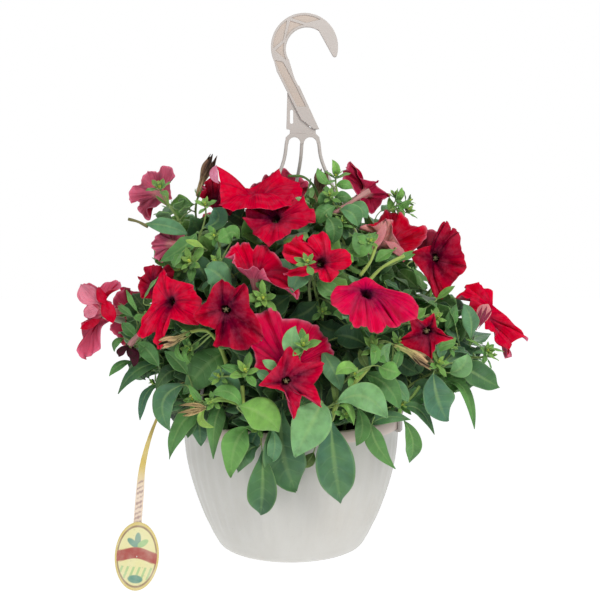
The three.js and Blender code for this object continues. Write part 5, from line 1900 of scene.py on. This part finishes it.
# More leaves that show: base, middle, tip, width, where it is widest and tone.
TRACED_LEAVES = [
    ((-175, -78, 231), (-189, -85, 227), (-200, -84, 215), 10, 0.5, "mid"),
    ((-142, -78, 228), (-169, -88, 222), (-190, -88, 196), 15, 0.45, "dark"),
    ((-153, -70, 225), (-159, -75, 218), (-157, -72, 210), 8, 0.4, "deep"),
    ((-162, -72, 223), (-165, -76, 216), (-161, -74, 209), 7, 0.4, "deep"),
    ((-118, -74, 220), (-135, -83, 218), (-149, -80, 199), 19, 0.5, "deep"),
    ((-145, -72, 202), (-160, -80, 194), (-167, -80, 165), 11, 0.6, "blue"),
    ((-114, -118, 212), (-136, -128, 195), (-129, -124, 161), 26, 0.45, "blue"),
    ((-98, -108, 182), (-119, -117, 166), (-132, -112, 128), 23, 0.35, "mid"),
    ((-105, -100, 180), (-109, -109, 167), (-112, -108, 151), 16, 0.5, "dark"),
    ((-99, -96, 180), (-99, -107, 162), (-97, -106, 142), 20, 0.5, "blue"),
    ((-73, -122, 190), (-81, -130, 170), (-83, -126, 132), 20, 0.35, "mid"),
    ((-45, -148, 171), (-58, -155, 153), (-63, -146, 117), 29, 0.42, "fresh"),
    ((-33, -144, 150), (-47, -149, 144), (-56, -140, 121), 22, 0.5, "dark"),
    ((-33, -140, 169), (-39, -145, 157), (-44, -140, 141), 16, 0.5, "blue"),
    ((-30, -150, 150), (-29, -154, 114), (-32, -140, 74), 32, 0.62, "dark"),
    ((-19, -158, 173), (-16, -160, 155), (-20, -152, 135), 16, 0.55, "grey"),
    ((-8, -146, 198), (-8, -151, 148), (6, -134, 99), 45, 0.6, "dark"),
    ((33, -176, 204), (21, -190, 182), (5, -182, 148), 41, 0.42, "pale"),
    ((25, -150, 145), (20, -153, 137), (13, -146, 128), 13, 0.5, "olive"),
    ((43, -158, 184), (46, -165, 140), (54, -150, 90), 42, 0.56, "blue"),
    ((-54, -172, 199), (-29, -184, 193), (-11, -178, 173), 35, 0.5, "bright"),
    ((-50, -162, 195), (-63, -164, 212), (-83, -156, 208), 16, 0.5, "fresh"),
    ((-50, -150, 203), (-67, -152, 222), (-85, -140, 221), 23, 0.5, "grey"),
    ((-95, -130, 196), (-101, -137, 205), (-108, -136, 215), 8, 0.4, "fresh"),
    ((-52, -158, 194), (-67, -158, 204), (-90, -150, 196), 7, 0.4, "young"),
    ((-89, -140, 192), (-94, -149, 179), (-80, -150, 172), 8, 0.5, "young"),
    ((-68, -104, 245), (-91, -110, 231), (-117, -96, 197), 39, 0.5, "mid"),
    ((-81, -92, 261), (-94, -101, 247), (-103, -96, 226), 26, 0.5, "deep"),
    ((-65, -120, 250), (-54, -126, 240), (-56, -120, 219), 21, 0.5, "deep"),
    ((-105, -122, 255), (-113, -128, 247), (-106, -128, 237), 6, 0.5, "fresh"),
    ((-118, -122, 258), (-120, -128, 247), (-109, -128, 238), 6, 0.5, "fresh"),
    ((-111, -104, 219), (-121, -112, 235), (-136, -110, 247), 16, 0.5, "mid"),
    ((-144, -84, 224), (-155, -94, 244), (-167, -92, 253), 19, 0.5, "mid"),
    ((-186, -60, 254), (-195, -65, 249), (-197, -62, 239), 9, 0.4, "mid"),
    ((-12, -176, 239), (-20, -182, 244), (-28, -180, 248), 10, 0.5, "pale"),
    ((-20, -170, 227), (-27, -175, 232), (-35, -172, 236), 11, 0.5, "grey"),
    ((10, -176, 251), (2, -185, 267), (6, -182, 284), 20, 0.5, "pale"),
    ((70, -180, 236), (58, -187, 242), (47, -184, 234), 14, 0.5, "bright"),
    ((92, -172, 241), (102, -181, 238), (114, -178, 235), 20, 0.5, "fresh"),
    ((84, -168, 240), (88, -174, 254), (83, -172, 265), 11, 0.5, "fresh"),
    ((104, -162, 243), (98, -168, 254), (105, -166, 264), 10, 0.5, "pale"),
    ((108, -158, 234), (112, -163, 246), (115, -160, 258), 11, 0.5, "mid"),
    ((82, -160, 236), (76, -165, 247), (72, -162, 257), 10, 0.5, "olive"),
    ((48, -168, 201), (76, -181, 211), (100, -178, 188), 29, 0.55, "pale"),
    ((77, -150, 229), (100, -162, 219), (114, -160, 194), 24, 0.5, "mid"),
    ((99, -144, 221), (114, -152, 214), (124, -150, 199), 15, 0.5, "grey"),
    ((50, -168, 198), (61, -177, 198), (66, -178, 180), 8, 0.5, "bright"),
    ((71, -150, 193), (76, -156, 173), (70, -150, 152), 17, 0.5, "mid"),
    ((86, -152, 176), (91, -153, 155), (112, -142, 125), 21, 0.45, "mid"),
    ((85, -142, 172), (101, -151, 183), (127, -150, 180), 14, 0.45, "dark"),
    ((119, -138, 179), (130, -140, 156), (128, -130, 129), 19, 0.58, "mid"),
    ((121, -140, 192), (138, -145, 188), (153, -140, 162), 13, 0.4, "dark"),
    ((152, -136, 228), (155, -148, 203), (167, -142, 177), 36, 0.52, "blue"),
    ((162, -112, 210), (185, -119, 209), (199, -118, 163), 12, 0.6, "mid"),
    ((181, -112, 234), (204, -123, 221), (225, -118, 209), 29, 0.42, "dark"),
    ((170, -126, 226), (182, -135, 234), (189, -130, 247), 22, 0.5, "pale"),
    ((160, -124, 240), (160, -129, 251), (155, -126, 261), 12, 0.5, "grey"),
    ((177, -126, 258), (166, -131, 257), (155, -128, 249), 10, 0.5, "fresh"),
    ((33, -150, 254), (45, -165, 236), (53, -166, 214), 22, 0.5, "grey"),
    ((82, -130, 256), (63, -136, 266), (47, -128, 266), 26, 0.5, "dark"),
    ((77, -116, 232), (64, -121, 248), (50, -112, 246), 26, 0.5, "deep"),
    ((45, -162, 200), (47, -165, 212), (42, -160, 223), 7, 0.5, "olive"),
    ((111, -120, 248), (121, -127, 234), (137, -122, 226), 18, 0.5, "dark"),
    ((125, -112, 220), (134, -119, 234), (141, -114, 247), 19, 0.5, "deep"),
    ((197, -86, 256), (197, -90, 278), (190, -82, 295), 21, 0.5, "grey"),
    ((170, -84, 266), (176, -90, 280), (181, -86, 295), 14, 0.5, "mid"),
    ((30, -112, 303), (17, -117, 290), (-3, -108, 283), 26, 0.5, "dark"),
    ((28, -104, 280), (43, -109, 270), (60, -100, 271), 24, 0.5, "dark"),
    ((59, -90, 300), (52, -95, 283), (35, -86, 267), 24, 0.5, "deep"),
    ((0, -110, 307), (-15, -118, 297), (-30, -112, 283), 24, 0.5, "dark"),
    ((-22, -112, 303), (-37, -118, 312), (-50, -112, 307), 19, 0.5, "blue"),
    ((-62, -110, 371), (-68, -119, 372), (-76, -116, 366), 19, 0.5, "fresh"),
    ((-61, -134, 316), (-76, -143, 334), (-89, -136, 339), 28, 0.52, "grey"),
    ((-73, -112, 367), (-62, -119, 376), (-54, -114, 369), 17, 0.5, "fresh"),
    ((-95, -74, 378), (-79, -79, 387), (-84, -70, 400), 24, 0.5, "blue"),
    ((-114, -86, 341), (-98, -96, 336), (-90, -92, 318), 26, 0.5, "dark"),
    ((-163, -40, 380), (-138, -55, 379), (-114, -58, 370), 18, 0.5, "grey"),
    ((-104, -70, 371), (-116, -79, 358), (-143, -76, 341), 20, 0.5, "mid"),
    ((58, -112, 357), (74, -121, 361), (91, -116, 376), 23, 0.5, "fresh"),
    ((83, -110, 350), (76, -120, 363), (68, -116, 376), 23, 0.5, "mid"),
    ((56, -146, 311), (40, -154, 318), (29, -150, 328), 19, 0.5, "mid"),
    ((23, -146, 340), (10, -155, 333), (2, -150, 315), 23, 0.5, "grey"),
    ((50, -46, 423), (60, -52, 425), (69, -50, 420), 12, 0.5, "fresh"),
    ((48, -56, 408), (57, -63, 412), (68, -60, 408), 13, 0.5, "mid"),
    ((-46, -24, 377), (-60, -29, 388), (-75, -22, 393), 20, 0.5, "deep"),
    ((-53, -16, 406), (-60, -24, 393), (-62, -20, 375), 18, 0.5, "deep"),
    ((50, -60, 417), (39, -67, 410), (35, -64, 397), 17, 0.5, "mid"),
    ((44, -56, 425), (35, -61, 432), (30, -58, 443), 11, 0.5, "fresh"),
    ((48, -50, 434), (50, -55, 443), (46, -52, 452), 9, 0.5, "bright"),
    ((50, -70, 402), (37, -78, 395), (30, -74, 382), 19, 0.5, "mid"),
    ((54, -74, 398), (67, -82, 394), (74, -78, 380), 20, 0.5, "grey"),
    ((39, -84, 391), (47, -92, 379), (45, -88, 361), 20, 0.5, "mid"),
    ((66, -60, 406), (76, -67, 399), (85, -64, 388), 17, 0.5, "grey"),
    ((-88, -158, 195), (-101, -164, 199), (-116, -164, 198), 4, 0.4, "straw"),
    ((-88, -158, 194), (-102, -164, 193), (-117, -164, 190), 4, 0.5, "straw"),
    ((-88, -158, 193), (-100, -164, 190), (-112, -164, 187), 4, 0.6, "straw"),
    ((121, 0, 389), (115, -5, 399), (113, -3, 409), 10, 0.5, "bright"),
    ((122, 0, 395), (130, -5, 400), (138, -3, 405), 8, 0.5, "fresh"),
    ((121, -3, 400), (125, -8, 411), (127, -5, 420), 8, 0.5, "bright"),
    ((121, -3, 397), (126, -8, 391), (131, -5, 384), 9, 0.5, "fresh"),
    ((-176, -92, 251), (-184, -99, 245), (-187, -98, 239), 10, 0.5, "maroon"),
    ((-173, -92, 250), (-170, -99, 240), (-171, -98, 228), 12, 0.5, "maroon"),
    ((-178, -92, 250), (-173, -99, 243), (-164, -98, 239), 10, 0.5, "maroon"),
]

# Stems that show: their points, radius and tone.
SHOWN_STEMS = [
    (((82, -160, 238), (66, -166, 221), (50, -166, 202), (43, -158, 181)), 2.3, "young"),
    (((-77, -110, 256), (-72, -114, 244), (-66, -118, 227)), 2.6, "young"),
    (((-50, -158, 218), (-49, -160, 207), (-49, -160, 194)), 2.1, "young"),
    (((115, -140, 193), (128, -134, 200), (138, -130, 212)), 1.7, "fresh"),
    (((-3, -40, 434), (14, -44, 433), (25, -46, 424), (31, -40, 411)), 1.4, "mid"),
    (((81, -120, 321), (98, -116, 338), (122, -108, 350)), 1.8, "young"),
    (((74, -124, 330), (85, -122, 345), (91, -116, 361)), 1.8, "young"),
    (((-105, -146, 273), (-90, -138, 274), (-76, -116, 256)), 1.6, "young"),
    (((-160, -40, 377), (-171, -42, 383), (-182, -42, 386)), 1.7, "olive"),
    (((-156, -88, 268), (-167, -90, 261), (-176, -92, 250)), 3.2, "mauve"),
    (((23, -150, 339), (20, -146, 322), (21, -136, 305)), 1.6, "old"),
    (((-210, -52, 279), (-201, -48, 275), (-188, -42, 271)), 3.6, "tube"),
    (((47, -64, 393), (66, -62, 405), (87, -52, 418)), 2.5, "mauve"),
]

# The light that reaches leaves is full at the outside and least within these reaches of the middle.
PLANT_MIDDLE = np.array((-8.0, 0.0, 215.0))
PLANT_REACH = np.array((232.0, 190.0, 215.0))
DEEPEST_LIGHT = 0.42

# How long sepals are about a flower and about a spent one, and the bracts of the tips at stems' ends.
SEPAL_LENGTH = 14
SPENT_SEPAL_LENGTH = 8
END_TIP_SIZE = 17

# How far apart leaves grow on a stem, and how often each is tried.
LEAF_STEP = 9
LEAF_TRIES = 7

# Leaf tones from the compost upwards.
BY_HEIGHT = ("deep", "dark", "blue", "mid", "grey", "fresh", "bright")

# Leafy tips: the place, the length of the longest bract, and where the tip faces (turned, lifted).
LEAFY_TIPS = [
    ((-150, -6, 420), 22, -20, 60),
    ((-108, -98, 342), 24, -20, 30),
    ((-28, -150, 309), 22, 0, 15),
    ((-46, -168, 234), 26, -5, 40),
    ((18, -190, 350), 17, 0, 40),
    ((56, -84, 385), 14, 20, 50),
    ((14, -186, 264), 22, 0, 45),
    ((85, -166, 259), 20, 10, 40),
    ((114, -150, 262), 14, 20, 30),
    ((215, -92, 245), 16, 40, 20),
    ((50, -50, 434), 20, 10, 70),
    ((34, -130, 292), 14, 10, 20),
    ((-154, -84, 283), 15, -50, 20),
    ((-107, -120, 250), 18, -20, 20),
    ((-82, -150, 199), 14, -20, 10),
    ((171, -124, 255), 16, 30, 30),
    ((135, 0, 394), 16, 60, 40),
    ((120, -10, 411), 16, 20, 70),
    ((-123, -60, 330), 15, -30, 30),
    ((58, -170, 190), 12, 10, 20),
    ((10, -165, 215), 14, 0, 10),
    ((157, -130, 238), 17, 30, 30),
    ((-81, -100, 371), 16, -20, 20),
    ((-93, -76, 403), 16, -10, 50),
    ((43, -72, 413), 17, 0, 40),
    ((85, -120, 366), 15, 10, 30),
    ((157, -110, 283), 16, 30, 30),
]


def tone_at(height, rng):
    """A leaf tone: darker near the compost, brighter high up."""
    share = np.clip((height - 150) / 230, 0, 1) * 0.6 + rng.uniform(0, 0.55)
    return LEAF_TONES[BY_HEIGHT[min(int(share * len(BY_HEIGHT)), len(BY_HEIGHT) - 1)]]


def shade_at(place):
    """How much of the light reaches a place: little of it deep inside the plant."""
    spread = np.linalg.norm((place - PLANT_MIDDLE) / PLANT_REACH)
    return DEEPEST_LIGHT + 0.64 * float(np.clip((spread - 0.52) / 0.42, 0, 1))


def add_rosette(shoot, place, size, axis, rng, count=8, room=None, prized=False):
    """A leafy tip: bracts in a spiral, the inner ones short, upright and yellow-green.

    With a room the bracts that hide a flower are left out, and a prized tip is one that has to show.
    """
    right, up = frame_about(axis)
    start = rng.uniform(0, 360)
    shoot.skins.add_blob(place + axis * size * 0.12, (size * 0.09, size * 0.16), axis, BUD_TONE, STALK)
    for i in range(count):
        share = i / (count - 1)
        aside = around(right, up, math.radians(start + GOLDEN_ANGLE * i))
        open_by = math.radians(18 + 62 * share + rng.uniform(-8, 8))
        length = size * (0.4 + 0.6 * share) * rng.uniform(0.85, 1.1)
        base = place - axis * 5 * share
        tip = base + around(axis, aside, open_by) * length
        grid = leaf_grid(base, tip, length * rng.uniform(0.34, 0.48), 30, rng, (10, 7), axis - aside * 0.5)
        if room is not None:
            if not prized and room.hides(sample(grid)):
                continue
            room.keep(sample(grid))
            if prized:
                room.screen(grid)
        tone = blend(LEAF_TONES["young"], LEAF_TONES["fresh"], share * rng.uniform(0.7, 1.2))
        shoot.add_leaf(grid, np.clip(tone, 0, 1), rng)


def add_calyx(shoot, base, axis, rng, reach):
    """Five narrow sepals about the foot of a flower's tube."""
    right, up = frame_about(axis)
    cup = [base - axis * 0.6, base + axis * 1.2, base + axis * 3.4]
    shoot.skins.add_tube(cup, (1.5, 2.7, 2.3), LEAF_TONES["fresh"], STALK, sides=10)
    start = rng.uniform(0, 72)
    for i in range(5):
        aside = around(right, up, math.radians(start + 72 * i + rng.uniform(-9, 9)))
        length = reach * rng.uniform(0.85, 1.15)
        foot = base + aside * 2.3 + axis * 1.0
        tip = foot + axis * length * 0.9 + aside * length * rng.uniform(0.35, 0.75)
        grid = leaf_grid(foot, tip, 3.6 * rng.uniform(0.85, 1.15), -18, rng, (9, 5), -aside)
        tone = blend(LEAF_TONES["fresh"], LEAF_TONES["young"], rng.uniform(0.1, 0.7))
        shoot.add_leaf(grid[:, ::-1], tone, rng)


def nearest_shoot(shoots, point):
    """The shoot with the stem that comes nearest to a point."""
    return min(shoots.values(), key=lambda shoot: np.linalg.norm(shoot.nearest(point) - point))


def grow_shown(shoots, room):
    """The leaves picked out in the photograph, each on its nearest stem."""
    rng = random.Random(5)
    for base, tip, width, bend, tone in SHOWN_LEAVES:
        base, tip = np.array((base, tip), float)
        shoot = nearest_shoot(shoots, base)
        grid = leaf_grid(base, tip, width, bend, rng, (24, 13))
        room.screen(grid)
        shoot.add_leaf(grid, LEAF_TONES[tone], rng)
        foot = shoot.nearest(base)
        if np.linalg.norm(foot - base) > 3:
            shoot.add_petiole(grid, foot, STEM_TONE)
        room.keep(sample(grid))


def grow_traced(shoots, room):
    """The leaves and stems traced in the photograph, each on its nearest stem."""
    rng = random.Random(12)
    for base, middle, tip, width, peak, tone in TRACED_LEAVES:
        base, middle, tip = np.array((base, middle, tip), float)
        shoot = nearest_shoot(shoots, base)
        grid = leaf_through(base, middle, tip, width, peak, rng)
        if tone != "deep":
            room.screen(grid)
        if tone in DRY_TONES:
            shoot.add_leaf(grid, DRY_TONES[tone], rng, DRY_THICKNESS, (DRY, DRY))
        else:
            shoot.add_leaf(grid, LEAF_TONES[tone], rng)
            foot = shoot.nearest(base)
            if 3 < np.linalg.norm(foot - base) < 45:
                shoot.add_petiole(grid, foot, STEM_TONE)
        room.keep(sample(grid))
    for points, radius, tone in SHOWN_STEMS:
        path = spline_path(points, 8)
        shoot = nearest_shoot(shoots, path[-1])
        ribbed = radius * (1 + 0.12 * np.sin(np.linspace(0, 9, len(path))))
        shoot.skins.add_tube(path, ribbed, STEM_TONES[tone], STALK, sides=10)
        room.keep(path)
        room.screen(path[:, None])


def grow_tips(shoots, room):
    """The leafy tips picked out in the photograph, each on a twig off its nearest stem."""
    rng = random.Random(6)
    for place, size, turn, lift in LEAFY_TIPS:
        place = np.array(place, float)
        shoot = nearest_shoot(shoots, place)
        axis = facing(turn, lift)
        foot = shoot.nearest(place)
        span = np.linalg.norm(place - foot)
        leave = foot + unit(place - foot) * span * 0.3
        path = shoot.add_stalk((foot, leave, place - axis * span * 0.4, place), TWIG_RADII)
        add_rosette(shoot, place, size, axis, rng, 11, room, prized=True)
        room.keep(path)


def try_leaf(shoot, room, rng, base, direction, length, foot, normal=None, gap=5.5, allowed=2, dim=1.0):
    """Grows a leaf, and its stalk from a foot on a stem, if it has room."""
    width = length * rng.uniform(0.52, 0.7)
    bend = rng.uniform(10, 60)
    twist = rng.uniform(-25, 25)
    grid = leaf_grid(base, base + direction * length, width, bend, rng, (13, 7), normal, twist)
    points = sample(grid)
    if not room.has(points, gap, allowed, grid.reshape(-1, 3)):
        return False
    # Painted shade: darker deep inside the plant, and darker still by dim.
    tone = tone_at(base[2] + 20 * direction[2], rng) * shade_at(base + direction * length * 0.5) * dim
    shoot.add_leaf(grid, tone, rng)
    shoot.add_petiole(grid, foot, blend(OLD_STEM_TONE, STEM_TONE, rng.random()))
    room.keep(points)
    return True


def grow_on_stems(shoots, room):
    """Leaves in a spiral up every stem, a little shorter with each try at a place."""
    rng = random.Random(7)
    for number, shoot in enumerate(shoots.values()):
        for stem, path in enumerate(shoot.paths):
            span = np.linalg.norm(np.diff(path, axis=0), axis=1).sum()
            count = int(span / LEAF_STEP)
            for i in range(count):
                share = 0.1 + 0.87 * (i + 0.5) / count
                place = path[int(share * (len(path) - 1))]
                tangent = unit(path[min(int(share * len(path)) + 1, len(path) - 1)] - place + 1e-6)
                length = (66 - 30 * share) * rng.uniform(0.75, 1.15)
                for _ in range(LEAF_TRIES):
                    azimuth = GOLDEN_ANGLE * i + 67 * number + 31 * stem + rng.uniform(-50, 50)
                    aside = polar(azimuth, 1, 0)
                    aside = unit(aside - tangent * aside.dot(tangent))
                    direction = unit(aside + tangent * rng.uniform(-0.1, 0.7) + outward_at(place) * 0.35)
                    base = place + direction * rng.uniform(3, 12)
                    if try_leaf(shoot, room, rng, base, direction, length, place):
                        break
                    length *= 0.9


def shaken(rng, most):
    """A small random offset."""
    return np.array([rng.uniform(-most, most) for _ in range(3)])


def grow_fillers(shoots, room, tries, seed, shell, sizes, **limits):
    """Leaves on thin stalks that fill the plant out to its outline.

    They stand off the stems by the shell's range, and are as long as the range of sizes says.
    """
    rng = random.Random(seed)
    stems = [(shoot, place) for shoot in shoots.values() for path in shoot.paths for place in path[4:]]
    for _ in range(tries):
        shoot, foot = stems[rng.randrange(len(stems))]
        azimuth = rng.uniform(0, 360)
        push = polar(azimuth, 1, 0) + outward_at(foot) * rng.uniform(0, 1.2) + UP * rng.uniform(-0.5, 0.8)
        place = foot + unit(push) * rng.uniform(*shell)
        aim = unit(push + outward_at(place) * 0.6 + shaken(rng, 0.5))
        length = rng.uniform(*sizes) * (1 - 0.3 * np.clip((place[2] - 200) / 240, 0, 1))
        try_leaf(shoot, room, rng, place, aim, length, foot, **limits)


def grow_buds(shoots, room, tries, seed):
    """Small leafy tips on side twigs."""
    rng = random.Random(seed)
    owners = list(shoots.values())
    for _ in range(tries):
        shoot = rng.choice(owners)
        path = rng.choice(shoot.paths)
        foot = path[rng.randrange(12, len(path) - 2)]
        aim = unit(outward_at(foot) + UP * rng.uniform(0, 1) + shaken(rng, 0.7))
        reach = rng.uniform(14, 34)
        place = foot + aim * reach
        size = rng.uniform(16, 26)
        tips = [aim * size, aim * size * 0.5 + UP * size * 0.5, aim * size * 0.6 - UP * size * 0.4]
        if not room.has(np.array([place, *(place + tip for tip in tips)]), 6, 0):
            continue
        leave = foot + UP * reach * 0.2 + aim * reach * 0.3
        shoot.add_stalk((foot, leave, place - aim * reach * 0.3, place), SIDE_TWIG_RADII)
        add_rosette(shoot, place, size, aim, rng, 8, room)


# ---------------------------------------------------------------- dried flowers

WITHERED_TONES = (colour(176, 154, 112), colour(122, 94, 74))
STRAW_TONES = (colour(190, 196, 120), colour(206, 172, 128))
FOLD_TONE = colour(88, 16, 34)
SPENT_ROWS = 30
SPENT_COLUMNS = 36
SPENT_HEIGHTS = (0, 0.06, 0.4, 0.7, 0.85, 1.0)
SPENT_GIRTHS = (0.4, 0.55, 0.48, 0.95, 1.05, 0.8)


def make_spent(name, base, tip, radius, straw=False):
    """A withered trumpet, shrunk into folds, with a torn mouth."""
    axis = unit(tip - base)
    length = np.linalg.norm(tip - base)
    rng = np.random.default_rng(len(name) * 7)
    v = np.linspace(0, 1, SPENT_ROWS)[:, None]
    angles = -np.arange(SPENT_COLUMNS)[None, :] * math.tau / SPENT_COLUMNS
    girth = np.interp(v, SPENT_HEIGHTS, SPENT_GIRTHS)
    folds = 1 + 0.2 * np.sin(5 * angles + 3 * v + rng.uniform(0, 6)) + 0.12 * np.sin(9 * angles - 5 * v)
    torn = length * 0.1 * smooth(v, 0.75, 1) * (np.sin(3 * angles + 1) + 0.7 * np.sin(7 * angles))
    right, down = frame_about(axis)
    lean = right * rng.uniform(-1, 1) - down * rng.uniform(-1, 1)
    middle = base + axis * (v * length)[..., None] + lean * (3 * np.sin(math.pi * v))[..., None]
    radial = right * np.cos(angles)[..., None] - down * np.sin(angles)[..., None]
    grid = middle + axis * torn[..., None] + radial * (radius * girth * folds)[..., None]
    foot, mouth = STRAW_TONES if straw else WITHERED_TONES
    pale = blend(foot, mouth, smooth(v, 0.1, 0.9) * np.ones_like(angles))
    red = np.clip(np.sin(5 * angles + 3 * v) * (0.25 if straw else 0.5), 0, 0.4)
    tones = blend(pale, FOLD_TONE, red)
    skins = Skins()
    skins.add_skin(grid, DRY_THICKNESS, (tones * 0.5, tones), (0, 0), wrap=True)
    skins.make(name + "_withered", (DRIED,), "dried_flower", (name,))


# ---------------------------------------------------------------- the basket


def grow_shoots(flowers, heads):
    """All the green: the heads are the places and directions of what sits on a stem's end."""
    shoots = {name: Shoot(name, heads) for name in SHOOTS}
    arms = Skins()
    for start, azimuth in ARMS:
        make_arm(arms, start, azimuth)
    room = Room(flowers, np.concatenate(arms.points))
    rng = random.Random(4)
    for name, shoot in shoots.items():
        shoot.add_stems()
        for path in shoot.paths:
            room.keep(path[3:-1])
        for end in SHOOTS[name][1]:
            if isinstance(end, str):
                length = SEPAL_LENGTH if end.startswith("flower") else SPENT_SEPAL_LENGTH
                add_calyx(shoot, *heads[end], rng, length)
    grow_shown(shoots, room)
    grow_traced(shoots, room)
    grow_tips(shoots, room)
    grow_buds(shoots, room, 80, seed=8)
    grow_on_stems(shoots, room)
    grow_fillers(shoots, room, 2400, seed=9, shell=(12, 46), sizes=(40, 66))
    grow_fillers(shoots, room, 2400, seed=10, shell=(10, 48), sizes=(26, 46))
    # The dense inner leaves are dimmed: painted shade for the depth of the plant.
    dense = {"normal": TO_VIEWER, "gap": 3.5, "allowed": 5, "dim": 0.56}
    grow_fillers(shoots, room, 2500, seed=11, shell=(2, 14), sizes=(36, 56), **dense)
    for name, shoot in shoots.items():
        for end in SHOOTS[name][1]:
            if not isinstance(end, str):
                place = np.array(end, float)
                add_rosette(shoot, place, END_TIP_SIZE, unit(outward_at(place) + 0.5 * UP), rng)
        shoot.make()


def make_basket():
    """Every piece of the basket and the plant."""
    make_pot()
    make_soil()
    make_hanger()
    make_label()
    flowers = [Flower(name, **look) for name, look in FLOWERS.items()]
    heads = {}
    for flower in flowers:
        flower.make()
        heads[flower.name] = (flower.base, flower.axis)
    for name, spent in SPENT_FLOWERS.items():
        base, tip = np.array((spent["base"], spent["tip"]), float)
        heads[name] = (base, unit(tip - base))
        make_spent(name, base, tip, spent["radius"], straw="straw" in spent)
    grow_shoots(flowers, heads)


# ---------------------------------------------------------------- stage, light and camera

# In the frame's metres: the floor, and the point that the lights are aimed at.
FLOOR_HEIGHT = -1.9
FLOOR_REACH = 14.0
LIT_MIDDLE = (0.0, 0.0, -0.3)


def add_light(name, place, size, power, tone):
    """A round soft light that points at the middle of the basket."""
    lamp = bpy.data.lights.new(name, "AREA")
    lamp.shape = "DISK"
    lamp.size = size
    lamp.energy = power
    lamp.color = tone
    light = place_object(name, lamp)
    light.location = place
    light.rotation_euler = (Vector(LIT_MIDDLE) - Vector(place)).to_track_quat("-Z", "Y").to_euler()


def make_floor():
    """A pale, faintly glowing floor, far below the basket."""
    mesh = bpy.data.meshes.new("floor")
    corners = [(-1, -1), (1, -1), (1, 1), (-1, 1)]
    mesh.from_pydata([(x * FLOOR_REACH, y * FLOOR_REACH, FLOOR_HEIGHT) for x, y in corners], [], [range(4)])
    finish = Finish("pale_floor")
    glow = {"Emission_Color": (1.0, 1.0, 1.0), "Emission_Strength": 0.75}
    mesh.materials.append(finish.finish(colour(250, 250, 250), 0.9, **glow))
    floor = place_object("floor", mesh)


def make_world():
    """A dim bluish sky for the light, and plain white where the camera looks past the basket."""
    world = bpy.data.worlds.new("white_room")
    world.use_nodes = True
    bpy.context.scene.world = world
    nodes, links = world.node_tree.nodes, world.node_tree.links
    sky, plain = nodes["Background"], nodes.new("ShaderNodeBackground")
    for ground, tone, strength in ((sky, (0.93, 0.96, 1.0, 1.0), 0.32), (plain, (1.0, 1.0, 1.0, 1.0), 1.0)):
        ground.inputs["Color"].default_value = tone
        ground.inputs["Strength"].default_value = strength
    path = nodes.new("ShaderNodeLightPath")
    choose = nodes.new("ShaderNodeMixShader")
    links.new(path.outputs["Is Camera Ray"], choose.inputs[0])
    links.new(sky.outputs[0], choose.inputs[1])
    links.new(plain.outputs[0], choose.inputs[2])
    links.new(choose.outputs[0], nodes["World Output"].inputs["Surface"])


def make_camera():
    """The camera, where the photograph was taken from."""
    lens = bpy.data.cameras.new("camera")
    lens.lens = LENS
    lens.sensor_width = SENSOR
    camera = place_object("camera", lens)
    ahead = Vector((0, math.cos(VIEW_DOWN), -math.sin(VIEW_DOWN)))
    camera.location = Vector((LOOK_AT - SEAT) * MM) - ahead * VIEW_DISTANCE * MM
    camera.rotation_euler = ahead.to_track_quat("-Z", "Y").to_euler()
    bpy.context.scene.camera = camera


def make_stage():
    """A pale floor, a white world, soft lights and the camera."""
    make_floor()
    make_world()
    add_light("key", (0.9, -1.7, 1.1), 1.3, 38, (1.0, 0.98, 0.95))
    add_light("fill", (-1.6, -1.5, 0.1), 1.8, 8, (0.93, 0.97, 1.0))
    add_light("back", (0.3, 1.8, 1.0), 1.6, 16, (1.0, 1.0, 1.0))
    make_camera()
    bpy.context.scene.view_settings.view_transform = "Standard"


make_basket()
make_stage()
